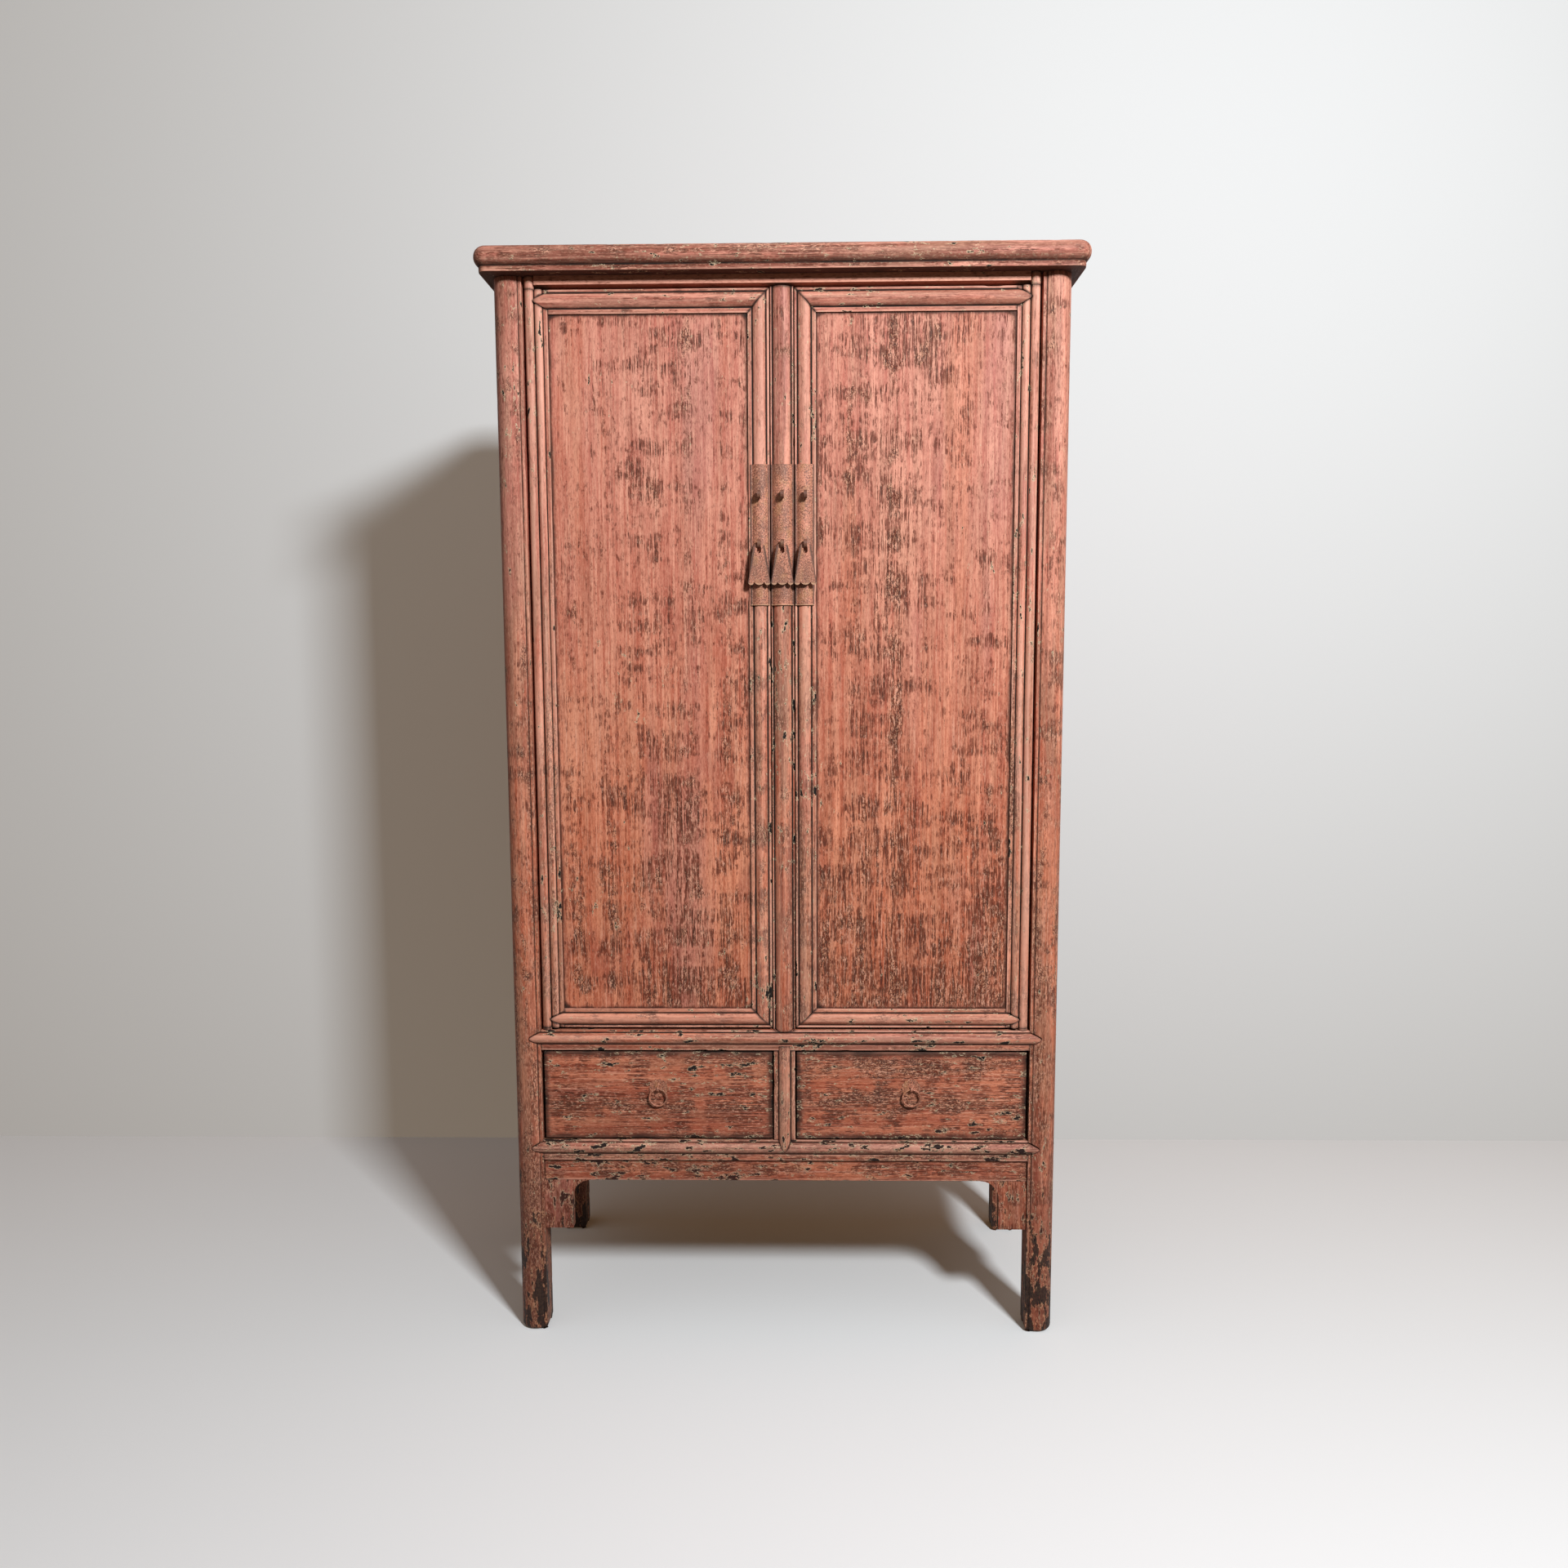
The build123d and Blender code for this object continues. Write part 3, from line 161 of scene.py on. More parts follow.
def buildPaint():
    # layered old paint: brushed tones, grain showing through in broken dashes, pits and chips with a cream rim,
    # grime and painted shade in hollows and on undersides, dust beside them, rubbed crests with a painted
    # highlight, a paler coat of painted light and dark feet; the grain runs along the third coordinate
    tree, given, result = newGroup("wornPaint", Height=1.0, Groove=0.0, Ridge=0.0, Streaks=1.0, Crackle=1.0,
                                   Chips=1.0, Rub=1.0, Grime=1.0, Dust=0.3, Brown=0.3, Lift=0.0)
    vector, height, colour = given["Vector"], given["Height"], paintColours
    ramp, times, timesPlus, coat = tree.ramp, tree.times, tree.timesPlus, tree.coat

    def noise(across, along, detail=3.0, roughness=0.5, place=vector):
        return tree.noise(place, (across, across, along), detail, roughness)

    fibre = noise(150.0, 3.4, 4.0, 0.66)
    hair = noise(430.0, 15.0, 2.0)
    cloud = noise(5.0, 2.4, 3.0)
    patch = noise(21.0, 4.0, 4.0, 0.6)
    speck = noise(330.0, 210.0, 2.0)

    # tones: darker and lighter coats by height, brushed along the grain
    dark = tree.mix(ramp(height, 0.75, 1.75), colour["midDark"], colour["topDark"])
    dark = tree.mix(ramp(height, 0.4, 0.75), colour["lowDark"], dark)
    light = tree.mix(ramp(height, 0.75, 1.75), colour["midLight"], colour["topLight"])
    light = tree.mix(ramp(height, 0.4, 0.75), colour["lowLight"], light)
    tone = tree.total((cloud, 0.22), (fibre, 0.62), (hair, 0.26))
    tree.base = tree.mix(ramp(tone, 0.42, 0.68), dark, light)
    coat("red", patch, 0.54, 0.7, 0.5)
    coat("mauve", noise(9.0, 1.6, 3.0), 0.54, 0.7, 0.45)
    coat("orange", noise(12.0, 1.3, 3.0), 0.52, 0.7, 0.4)
    coat("pale", noise(210.0, 6.0, 3.0, 0.6), 0.57, 0.68, 0.5)

    # a brown glaze left in long streaks, a paler coat of painted light, then a dry dust
    coat("brown", times(ramp(noise(85.0, 4.5, 5.0, 0.68), 0.4, 0.6), given["Brown"], clamp=True))
    # painted light: the whole piece made paler by this input, for pieces that sit in shade or should look lit
    coat("pale", given["Lift"])
    coat("dust", times(ramp(noise(44.0, 5.0, 4.0, 0.65), 0.46, 0.62), given["Dust"], clamp=True))

    # grain showing through: lines along the grain where a noise crosses its middle, widened in columns and
    # bands and broken up into dashes; a soft brown line with a dark core where it is wide
    wavy = tree.warp(vector, (30.0, 30.0, 22.0), (0.004, 0.004, 0.016))
    columns = noise(23.0, 1.3, 3.0)
    groups = noise(7.0, 1.6, 2.0)
    blobs = noise(24.0, 27.0, 4.0, 0.6)
    bands = noise(6.0, 30.0, 2.0)
    cluster = tree.total((groups, 0.3), (columns, 0.28), (blobs, 0.42), (bands, 0.4), (given["Streaks"], 0.07))
    cluster = ramp(tree.plus(cluster, ramp(height, 0.55, 1.3, 0.07, 0.0)), 0.74, 0.94)
    broken = noise(110.0, 62.0, 3.0, 0.65)
    away = 1.0
    for across, along, spread in ((170.0, 5.0, 1.0), (300.0, 12.0, 1.5)):
        crossing = tree.minus(noise(across, along, 1.0, place=wavy), 0.5)
        away = tree.least(away, times(tree.absolute(crossing), spread))
    width = timesPlus(cluster, 0.13, timesPlus(broken, 0.42, -0.24))
    width = tree.least(timesPlus(given["Streaks"], 0.012, width), timesPlus(cluster, 0.03, 0.038))
    line = tree.minus(width, away)
    streak = ramp(line, -0.035, 0.04)
    core = ramp(line, 0.028, 0.062)
    coat("streak", times(streak, 0.84))
    coat("streakDark", times(core, 0.9))

    # crackle: patches of small dark curls with pale specks between them, on a dusty ground
    blotch = tree.total((columns, 0.42), (noise(46.0, 20.0, 4.0, 0.66), 0.58), (given["Crackle"], 0.05),
                        (given["Ridge"], 0.05))
    blotch = tree.plus(blotch, ramp(height, 0.4, 1.7, 0.035, -0.03))
    blotch = timesPlus(cluster, 0.05, blotch)
    dusty = ramp(blotch, 0.53, 0.66)
    curl = tree.absolute(tree.minus(noise(400.0, 210.0, 2.0, place=wavy), 0.5))
    coat("dust", times(dusty, timesPlus(given["Dust"], 0.4, 0.04)))
    pale = times(ramp(curl, 0.085, 0.13), ramp(blotch, 0.58, 0.68))
    coat(tree.mix(given["Dust"], colour["tan"], colour["cream"]), times(pale, 0.4))
    spread = ramp(blotch, 0.56, 0.68, -0.03, 0.06)
    pit = ramp(tree.minus(spread, curl), -0.014, 0.014)
    coat("pit", times(pit, 0.85))
    grit = noise(400.0, 120.0, 3.0, 0.7, place=wavy)
    gritty = timesPlus(dusty, 0.45, timesPlus(cluster, 0.3, 0.3))
    coat("streak", times(ramp(grit, 0.5, 0.36), gritty))
    coat("pale", times(times(ramp(grit, 0.52, 0.66), gritty), 0.8))

    # grime and painted shade in the hollows and on the undersides, mottled: brown with dust and pale specks at
    # its edge, black only where it is deep
    smear = noise(150.0, 34.0, 4.0, 0.7)
    soft = noise(26.0, 5.0, 3.0, 0.6)
    deep = timesPlus(smear, 1.5, timesPlus(soft, 0.9, -0.5))
    deep = times(times(given["Groove"], deep), given["Grime"])
    coat("brown", deep, 0.02, 0.2, 0.6)
    paleEdge = times(ramp(deep, 0.05, 0.16), ramp(speck, 0.52, 0.64))
    coat("cream", times(paleEdge, given["Dust"]))
    coat("streakDark", deep, 0.1, 0.34, 0.85)
    coat("grimeAndShade", deep, 0.38, 0.75)

    # crests rubbed pale, and a painted highlight on the upper side of beads
    rubbedAndLit = times(given["Ridge"], ramp(fibre, 0.36, 0.62, 0.1, 1.0))
    rubbedAndLit = times(rubbedAndLit, given["Rub"], clamp=True)
    coat("rubAndHighlight", times(rubbedAndLit, 0.7))

    # chips down to the dark wood, with a cream rim of ground; more of them on edges and near the floor
    chipNoise = noise(88.0, 34.0, 4.0, 0.66)
    chipPatch = noise(5.5, 3.2, 3.0)
    lowShare = ramp(height, 0.06, 0.62, 0.06, 0.0)
    push = timesPlus(chipPatch, 0.36, times(given["Ridge"], 0.06))
    field = tree.plus(chipNoise, tree.plus(push, lowShare))
    field = timesPlus(tree.minus(given["Chips"], 1.0), 0.045, field)
    rim = times(ramp(field, 0.83, 0.86), ramp(speck, 0.4, 0.54, 0.2, 1.0))
    chip = ramp(timesPlus(speck, 0.07, field), 0.912, 0.925)
    coat("cream", times(rim, 0.8))
    coat("chip", chip)

    # towards the floor: darker, with black patches that grow together at the feet
    coat("low", timesPlus(patch, 0.4, height), 0.68, 0.2, 0.55)
    foot = tree.total((height, -0.62), (noise(55.0, 17.0, 5.0, 0.7), 0.95))
    coat("tan", times(ramp(foot, 0.37, 0.4), ramp(speck, 0.46, 0.58, 0.0, 0.6)))
    coat("chip", foot, 0.41, 0.45, 0.92)

    tree.plug(result["Color"], tree.base)
    rough = tree.total((fibre, 0.14), (deep, 0.2), (rubbedAndLit, -0.06), start=0.5)
    tree.plug(result["Roughness"], timesPlus(chip, 0.2, rough, clamp=True))
    bump = tree.total((fibre, 0.3), (hair, 0.1), (chip, -0.9), (pit, -0.5), (core, -0.35), (streak, -0.25),
                      (rim, 0.12))
    tree.plug(result["Bump"], bump)
    return tree.data


def buildBareWood():
    # plain aged wood: growth lines, pores and dirt
    tree, given, result = newGroup("agedWood", Tone=0.5)
    vector, ramp, times, coat = given["Vector"], tree.ramp, tree.times, tree.coat
    rings = tree.noise(vector, (26.0, 26.0, 1.6), 4.0, 0.55, 0.6)
    pores = tree.noise(vector, (620.0, 620.0, 18.0), 3.0)
    dirt = tree.noise(vector, (6.0, 6.0, 4.0), 4.0)
    lines = tree.add("Math", {0: times(rings, 16.0), 1: 1.0}, operation="PINGPONG").outputs[0]
    tree.base = tree.mix(ramp(lines, 0.1, 0.95), tint(112, 80, 54), tint(150, 112, 78))
    coat(tint(78, 54, 38), pores, 0.5, 0.66, 0.5)
    coat(tint(84, 64, 50), dirt, 0.48, 0.7, 0.6)
    coat(tint(70, 50, 38), given["Tone"])
    tree.plug(result["Color"], tree.base)
    tree.plug(result["Roughness"], tree.plus(times(pores, 0.2), 0.6))
    tree.plug(result["Bump"], tree.minus(times(lines, 0.25), pores))
    return tree.data


def buildIron():
    # forged iron: fine rust mottled with remains of paint, dark along its edges, a bright rim at its foot
    tree, given, result = newGroup("rustyIron", Edge=0.0, Foot=0.0, Paint=0.5)
    vector = given["Vector"]
    ramp, times, timesPlus, coat = tree.ramp, tree.times, tree.timesPlus, tree.coat
    mottle = tree.noise(vector, (520.0, 520.0, 420.0), 4.0, 0.66)
    blotch = tree.noise(vector, (70.0, 70.0, 38.0), 4.0, 0.62)
    grain = tree.noise(vector, (640.0, 640.0, 520.0), 3.0, 0.6)
    cloud = tree.noise(vector, (34.0, 34.0, 22.0), 3.0)
    tree.base = tree.mix(ramp(mottle, 0.36, 0.6), tint(112, 66, 50), tint(190, 122, 96))
    remains = timesPlus(mottle, 0.6, times(cloud, 0.6))
    remains = tree.plus(remains, timesPlus(given["Paint"], 0.3, -0.15))
    coat(tint(218, 142, 116), remains, 0.56, 0.72, 0.85)
    coat(tint(178, 126, 86), blotch, 0.5, 0.64, 0.55)
    coat(tint(112, 74, 60), cloud, 0.5, 0.36, 0.5)
    coat(tint(228, 176, 150), grain, 0.55, 0.68, 0.7)
    coat(tint(84, 46, 34), grain, 0.45, 0.35, 0.7)
    worn = times(given["Edge"], ramp(mottle, 0.3, 0.56, 0.35, 1.0))
    coat(tint(52, 33, 26), times(worn, 0.85))
    coat(tint(206, 162, 128), times(given["Foot"], 0.6))
    tree.plug(result["Color"], tree.base)
    tree.plug(result["Roughness"], timesPlus(mottle, 0.3, 0.42, clamp=True))
    tree.plug(result["Bump"], timesPlus(grain, 0.5, times(mottle, 0.8)))
    return tree.data


paintGroup, woodGroup, ironGroup = buildPaint(), buildBareWood(), buildIron()
grainTurn = {"x": (0.0, math.radians(-90), 0.0), "y": (math.radians(90), 0.0, 0.0), "z": (0.0, 0.0, 0.0)}


def newMaterial(name, group, values, grain="z", shift=(0.0, 0.0, 0.0), bump=0.6, depth=0.0012, attributes=False,
                shine=0.5):
    # one finish: object coordinates turned to the grain, the shared group, and the shader
    material = bpy.data.materials.new(name)
    material.use_nodes = True
    tree = ShaderTree(material.node_tree)
    shader = tree.nodes["Principled BSDF"]
    place = tree.add("TexCoord").outputs["Object"]
    turned = tree.add("Mapping", {"Vector": place, "Rotation": grainTurn[grain], "Location": shift})
    layers = tree.add("Group", node_tree=group)
    tree.plug(layers.inputs["Vector"], turned.outputs[0])
    if "Height" in layers.inputs:
        tree.plug(layers.inputs["Height"], tree.add("SeparateXYZ", {0: place}).outputs["Z"])
    for title, attribute in (("Groove", "groove"), ("Ridge", "ridge_and_highlight")):
        if attributes and title in layers.inputs:
            tree.plug(layers.inputs[title], tree.add("Attribute", attribute_name=attribute).outputs["Fac"])
    for title, value in values.items():
        layers.inputs[title].default_value = value
    tree.plug(shader.inputs["Base Color"], layers.outputs["Color"])
    tree.plug(shader.inputs["Roughness"], layers.outputs["Roughness"])
    relief = tree.add("Bump", {"Strength": bump, "Distance": depth, "Height": layers.outputs["Bump"]})
    tree.plug(shader.inputs["Normal"], relief.outputs[0])
    shader.inputs["Specular IOR Level"].default_value = shine
    return material


paintFinishes = {
    # the way of the grain, how far the pattern is moved in metres, and where the wear, the painted shade and
    # the painted light differ from plain paint
    "panel": ("z", (0.0, 0.0, 0.0), {"Crackle": 0.1, "Chips": 0.0, "Rub": 0.2, "Dust": 0.12, "Brown": 0.1}),
    "panelRight": ("z", (1.7, 0.4, 0.35), {"Streaks": 1.5, "Crackle": 0.2, "Chips": 0.0, "Rub": 0.2,
                                           "Dust": 0.15, "Brown": 0.25}),
    "upright": ("z", (0.0, 0.0, 0.0), {"Streaks": 0.7, "Crackle": 0.4, "Chips": 1.3, "Grime": 1.5, "Dust": 0.4,
                                       "Brown": 0.4, "Lift": 0.06}),
    "centre": ("z", (0.9, 0.5, 0.3), {"Streaks": 0.9, "Crackle": 0.9, "Chips": 1.5, "Rub": 0.7, "Grime": 1.4,
                                      "Dust": 0.35, "Brown": 0.9}),
    "cross": ("x", (0.3, 0.7, 0.1), {"Streaks": 0.4, "Crackle": -0.2, "Chips": 1.3, "Rub": 1.1, "Grime": 1.5,
                                     "Dust": 0.15, "Brown": 0.8}),
    # the door bottom rails are painted paler: a painted highlight
    "foot": ("x", (0.6, 0.3, 0.8), {"Streaks": 0.3, "Crackle": -0.2, "Chips": 1.3, "Rub": 1.2, "Grime": 1.4,
                                    "Dust": 0.15, "Lift": 0.12}),
    # the front top rail sits in the shade of the top and is painted much paler: painted light
    "topRail": ("x", (0.0, 0.0, 0.0), {"Streaks": 0.3, "Crackle": -0.4, "Chips": 0.6, "Dust": 0.1, "Brown": 0.1,
                                       "Lift": 0.5}),
    "leg": ("z", (0.0, 0.0, 0.0), {"Streaks": 0.8, "Crackle": 0.8, "Chips": 1.2, "Rub": 0.5, "Grime": 0.6,
                                   "Brown": 0.55}),
    "rail": ("x", (1.3, 0.2, 0.6), {"Streaks": 0.8, "Crackle": 0.5, "Chips": 1.8, "Rub": 1.1, "Dust": 0.2,
                                    "Brown": 0.95}),
    "lowRail": ("x", (1.3, 0.2, 0.6), {"Streaks": 0.8, "Crackle": 0.6, "Chips": 3.1, "Rub": 1.3,
                                       "Brown": 0.75}),
    "drawer": ("x", (2.1, 0.4, 0.9), {"Streaks": 0.9, "Crackle": -0.2, "Chips": 2.0, "Rub": 0.6, "Grime": 1.3,
                                      "Dust": 0.2, "Brown": 0.2}),
    "apron": ("x", (3.1, 0.9, 0.2), {"Streaks": 0.6, "Crackle": -0.1, "Chips": 1.5, "Dust": 0.15}),
    "bracket": ("z", (0.8, 0.3, 0.5), {"Streaks": 0.9, "Crackle": 0.8, "Chips": 1.3, "Dust": 0.2}),
    "sideRail": ("y", (0.2, 0.4, 0.3), {"Streaks": 0.8, "Crackle": 0.9, "Chips": 1.5, "Dust": 0.4}),
    "top": ("x", (0.6, 0.1, 0.2), {"Streaks": 1.9, "Crackle": 0.7, "Chips": 1.4, "Rub": 1.5, "Brown": 1.0}),
    "topEnd": ("y", (0.5, 0.9, 0.7), {"Streaks": 1.9, "Crackle": 0.7, "Chips": 1.4, "Rub": 1.5, "Brown": 1.0}),
}
finishes = {}
for title, (grain, shift, values) in paintFinishes.items():
    finishes[title] = newMaterial("painted" + title[0].upper() + title[1:], paintGroup, values, grain, shift,
                                  attributes=True, shine=0.25)
finishes["bareX"] = newMaterial("bareWoodAcross", woodGroup, {"Tone": 0.25}, "x")
finishes["bareY"] = newMaterial("bareWoodDeep", woodGroup, {"Tone": 0.35}, "y")
finishes["pull"] = newMaterial("pullIron", ironGroup, {"Paint": 0.3}, bump=0.5, depth=0.0005, shine=0.4)
finishes["staple"] = newMaterial("stapleIron", ironGroup, {"Paint": 0.0, "Edge": 0.8}, bump=0.5, depth=0.0004,
                                 shine=0.4)


def ironFor(node, taper=0.0, rim=0.0):
    # iron for one plate: a point lies half width - ||x| - middle| from the plate's long edge, where the half
    # width shrinks by the taper up its height; the rim is a bright band that many metres high at its foot
    (lowX, _, lowZ), (highX, _, highZ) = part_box(node)
    middle = 0.0 if lowX * highX < 0 else abs(lowX + highX) / 2
    material = newMaterial(f"{node}Iron", ironGroup, {"Paint": 0.4}, bump=0.7, depth=0.0008)
    tree = ShaderTree(material.node_tree)
    parts = tree.add("SeparateXYZ", {0: tree.add("TexCoord").outputs["Object"]}).outputs
    rise = tree.ramp(parts["Z"], lowZ, highZ)
    half = tree.times(tree.timesPlus(rise, -taper, 1.0), (highX - lowX) / 2)
    away = tree.absolute(tree.minus(tree.absolute(parts["X"]), middle))
    layers = next(item for item in tree.nodes if item.type == "GROUP")
    tree.plug(layers.inputs["Edge"], tree.ramp(tree.minus(half, away), 0.0036, 0.0006))
    if rim:
        tree.plug(layers.inputs["Foot"], tree.ramp(parts["Z"], lowZ + rim, lowZ + 0.3 * rim))
    return material


print("finishes:", len(finishes))


def latticeNoise(points, cells, seed):
    # value noise from 0 to 1: each cell corner has a fixed random value, blended by 3 f squared - 2 f cubed
    scaled = np.asarray(points) * np.asarray(cells, float)
    corner = np.floor(scaled).astype(np.int64)
    part = scaled - corner
    part = part * part * (3 - 2 * part)
    total = np.zeros(scaled.shape[:-1])
    for step in np.ndindex(2, 2, 2):
        key = ((corner[..., 0] + step[0]) * 73856093) ^ ((corner[..., 1] + step[1]) * 19349663)
        key ^= ((corner[..., 2] + step[2]) * 83492791) ^ (seed * 2654435761)
        key = (key ^ (key >> 13)) * 1274126177 & 0xFFFFFFFF
        value = ((key ^ (key >> 16)) & 0xFFFF) / 65535
        total += value * np.prod([part[..., i] if step[i] else 1 - part[..., i] for i in range(3)], axis=0)
    return total


def smoothStep(value, low, high):
    # 3 f squared - 2 f cubed, where f goes from 0 at low to 1 at high
    share = np.clip((value - low) / (high - low), 0, 1)
    return share * share * (3 - 2 * share)


def arcThrough(start, middle, end, count=24):
    # points on the circle through three points, from the first to the last
    (ax, ay), (bx, by), (cx, cy) = start, middle, end
    twice = 2 * (ax * (by - cy) + bx * (cy - ay) + cx * (ay - by))
    centreX = ((ax**2 + ay**2) * (by - cy) + (bx**2 + by**2) * (cy - ay) + (cx**2 + cy**2) * (ay - by)) / twice
    centreY = ((ax**2 + ay**2) * (cx - bx) + (bx**2 + by**2) * (ax - cx) + (cx**2 + cy**2) * (bx - ax)) / twice
    angles = [math.atan2(y - centreY, x - centreX) for x, y in (start, middle, end)]
    if (angles[1] - angles[0]) % math.tau > (angles[2] - angles[0]) % math.tau:
        sweep = -((angles[0] - angles[2]) % math.tau)
    else:
        sweep = (angles[2] - angles[0]) % math.tau
    radius = math.hypot(ax - centreX, ay - centreY)
    turn = angles[0] + sweep * np.linspace(0, 1, count)
    return np.stack([centreX + radius * np.cos(turn), centreY + radius * np.sin(turn)], 1).tolist()


def blurLoop(loop, widthSteps):
    # running mean with a bell-shaped weight round a closed loop
    count = len(loop)
    away = np.minimum(np.arange(count), count - np.arange(count))
    bell = np.exp(-0.5 * (away / widthSteps) ** 2)
    return np.real(np.fft.ifft(np.fft.fft(loop, axis=0) * np.fft.fft(bell / bell.sum())[:, None], axis=0))


def wornSection(outline, count=64, rounding=0.5, reach=2.4, fine=0.2, focus=()):
    # outline in mm, counter-clockwise. Even steps, corners rounded by a narrow running mean; relief is how far
    # a point stands out of a wide running mean: above zero on edges and crests, below zero in grooves
    loop = np.array(outline, float)
    loop = np.vstack([loop, loop[:1]])
    steps = np.hypot(*np.diff(loop, axis=0).T)
    length = np.concatenate([[0], np.cumsum(steps)])
    total = int(length[-1] / fine)
    even = np.linspace(0, length[-1], total, endpoint=False)
    dense = np.stack([np.interp(even, length, loop[:, i]) for i in (0, 1)], 1)
    worn = blurLoop(dense, rounding / fine)
    wide = blurLoop(dense, reach / fine)
    along = np.roll(worn, -1, 0) - np.roll(worn, 1, 0)
    along /= np.linalg.norm(along, axis=1)[:, None]
    outward = np.stack([along[:, 1], -along[:, 0]], 1)
    relief = ((worn - wide) * outward).sum(1)
    weight = 1 + 5 * np.minimum(np.abs(relief) / 0.35, 1)
    for lowX, highX, lowY, highY, extra in focus:
        inside = (worn[:, 0] > lowX) & (worn[:, 0] < highX) & (worn[:, 1] > lowY) & (worn[:, 1] < highY)
        weight = weight + extra * inside
    share = np.cumsum(weight)
    picked = np.searchsorted(share, np.linspace(share[0], share[-1], count, endpoint=False))
    return worn[picked], outward[picked], relief[picked]


def beadedSection(width, depth, lowFlat, highFlat, rise, quirk=1.2):
    # bar with a half-round bead on its front between two flats, a small quirk at each foot of the bead
    middle = (lowFlat + width - highFlat) / 2
    bead = arcThrough((width - highFlat, depth - quirk), (middle, depth + rise), (lowFlat, depth - quirk), 40)
    return [(0, depth), (0, 0), (width, 0), (width, depth), (width - highFlat + quirk, depth)] + bead + [
        (lowFlat - quirk, depth)]


def boardSection(width, depth):
    # a plain rectangle
    return [(0, 0), (width, 0), (width, depth), (0, depth)]


def runStations(start, end, step, dense=(), ends=True):
    # places along a run: even steps, closer together near its ends and round the given places
    places = [np.linspace(start, end, max(2, int(abs(end - start) / step) + 1))]
    if ends:
        near = np.array([0.0, 0.25, 0.6, 1.1, 1.8, 2.8, 4.2])
        places += [start + near, end - near]
    for centre, half, fine in dense:
        places.append(np.arange(centre - half, centre + half, fine))
    return np.unique(np.round(np.clip(np.concatenate(places), start, end), 3))


wear = {"seed": 11, "swell": 0.22, "dent": 0.7, "topSeed": 31, "topSwell": 0.35, "framedBandSeed": 5}


def closedSkin(grid, hollow, crest, basis):
    # faces between neighbouring points of the grid, whose rows are closed sections, and a fan over each end;
    # basis is across, out and along, and the faces turn over where it is left-handed
    rows, columns = grid.shape[:2]
    corner = np.arange(rows * columns).reshape(rows, columns)
    right = np.roll(corner, -1, 1)
    quads = np.stack([corner[:-1], right[:-1], right[1:], corner[1:]], -1).reshape(-1, 4)
    caps = np.vstack([np.stack([right[0], corner[0], np.full(columns, rows * columns)], 1),
                      np.stack([corner[-1], right[-1], np.full(columns, rows * columns + 1)], 1)])
    if np.linalg.det(np.array(basis)) < 0:
        quads, caps = quads[:, ::-1], caps[:, ::-1]
    points = np.vstack([grid.reshape(-1, 3), grid[0].mean(0), grid[-1].mean(0)]) * mm
    return {"points": points, "quads": quads, "caps": caps,
            "groove": np.concatenate([hollow.ravel(), [1, 1]]),
            "ridge_and_highlight": np.concatenate([crest.ravel(), [0, 0]])}


def sweptBar(outline, run, origin, across, out, along, count=64, step=6.0, dense=(), startCut=None,
             endCut=None, endRound=(0.6, 0.6), rounding=0.5, dent=1.0, groove=None, inset=None, swell=1.0,
             focus=(), shade=0.4):
    # point(u, s) = origin + across * x(u) + out * y(u) + along * place(u, s), where place goes from the start
    # cut to the end cut; pulled in along the section's normal by swelling noise, by dents on the edges and by
    # the rounding at the ends. Lengths in mm
    section, normals, relief = wornSection(outline, count, rounding, focus=focus)
    stations = runStations(run[0], run[1], step, dense)
    share = ((stations - run[0]) / (run[1] - run[0]))[:, None]
    x, y = section[:, 0][None], section[:, 1][None]
    first = run[0] + (startCut(x, y) if startCut else 0 * x)
    last = run[1] + (endCut(x, y) if endCut else 0 * x)
    place = first * (1 - share) + last * share
    basis = [np.array(direction, float) for direction in (across, out, along)]
    grid = (np.array(origin, float) + x[..., None] * basis[0] + y[..., None] * basis[1]
            + place[..., None] * basis[2])
    outward = normals[:, :1] * basis[0] + normals[:, 1:] * basis[1]
    fromEnd = np.minimum(place - first, last - place)
    pull = 0
    for radius, distance in zip(endRound, (place - first, last - place)):
        near = np.clip(1 - distance / radius, 0, 1)
        pull = pull + radius * (1 - np.sqrt(1 - near**2))
    pull = pull + wear["swell"] * swell * latticeNoise(grid * mm, (7, 7, 7), wear["seed"])
    edge = np.clip(relief / 0.4, 0, 1)[None]
    dents = smoothStep(latticeNoise(grid * mm, (55, 55, 55), wear["seed"] + 1), 0.62, 0.86)
    dents = dents * smoothStep(latticeNoise(grid * mm, (9, 9, 9), wear["seed"] + 2), 0.4, 0.7)
    pull = pull + wear["dent"] * dent * dents * edge
    if inset is not None:
        pull = pull + inset(grid)
    grid = grid - outward[None] * pull[..., None]
    hollow = np.clip(-relief / 0.4, 0, 1)[None] + 0 * place
    hollow = np.maximum(hollow, 0.75 * np.exp(-fromEnd / 2.2))
    # painted shade: faces that turn downwards get the hollows' darkening, stronger the more they face down
    hollow = np.maximum(hollow, shade * np.clip(-outward[:, 2], 0, 1) ** 1.5)
    if groove is not None:
        hollow = np.maximum(hollow, groove(grid))
    # ridge mask: edges that stand out, for real rubbing, and a painted highlight in a band where the surface
    # faces about 25 degrees up, on the upper side of beads
    crest = np.maximum(edge, 0.55 * np.exp(-(((outward[:, 2] - 0.42) / 0.2) ** 2))[None])
    crest = np.broadcast_to(crest, hollow.shape) * (1 - np.clip(hollow, 0, 1))
    return closedSkin(grid, hollow, crest, basis)


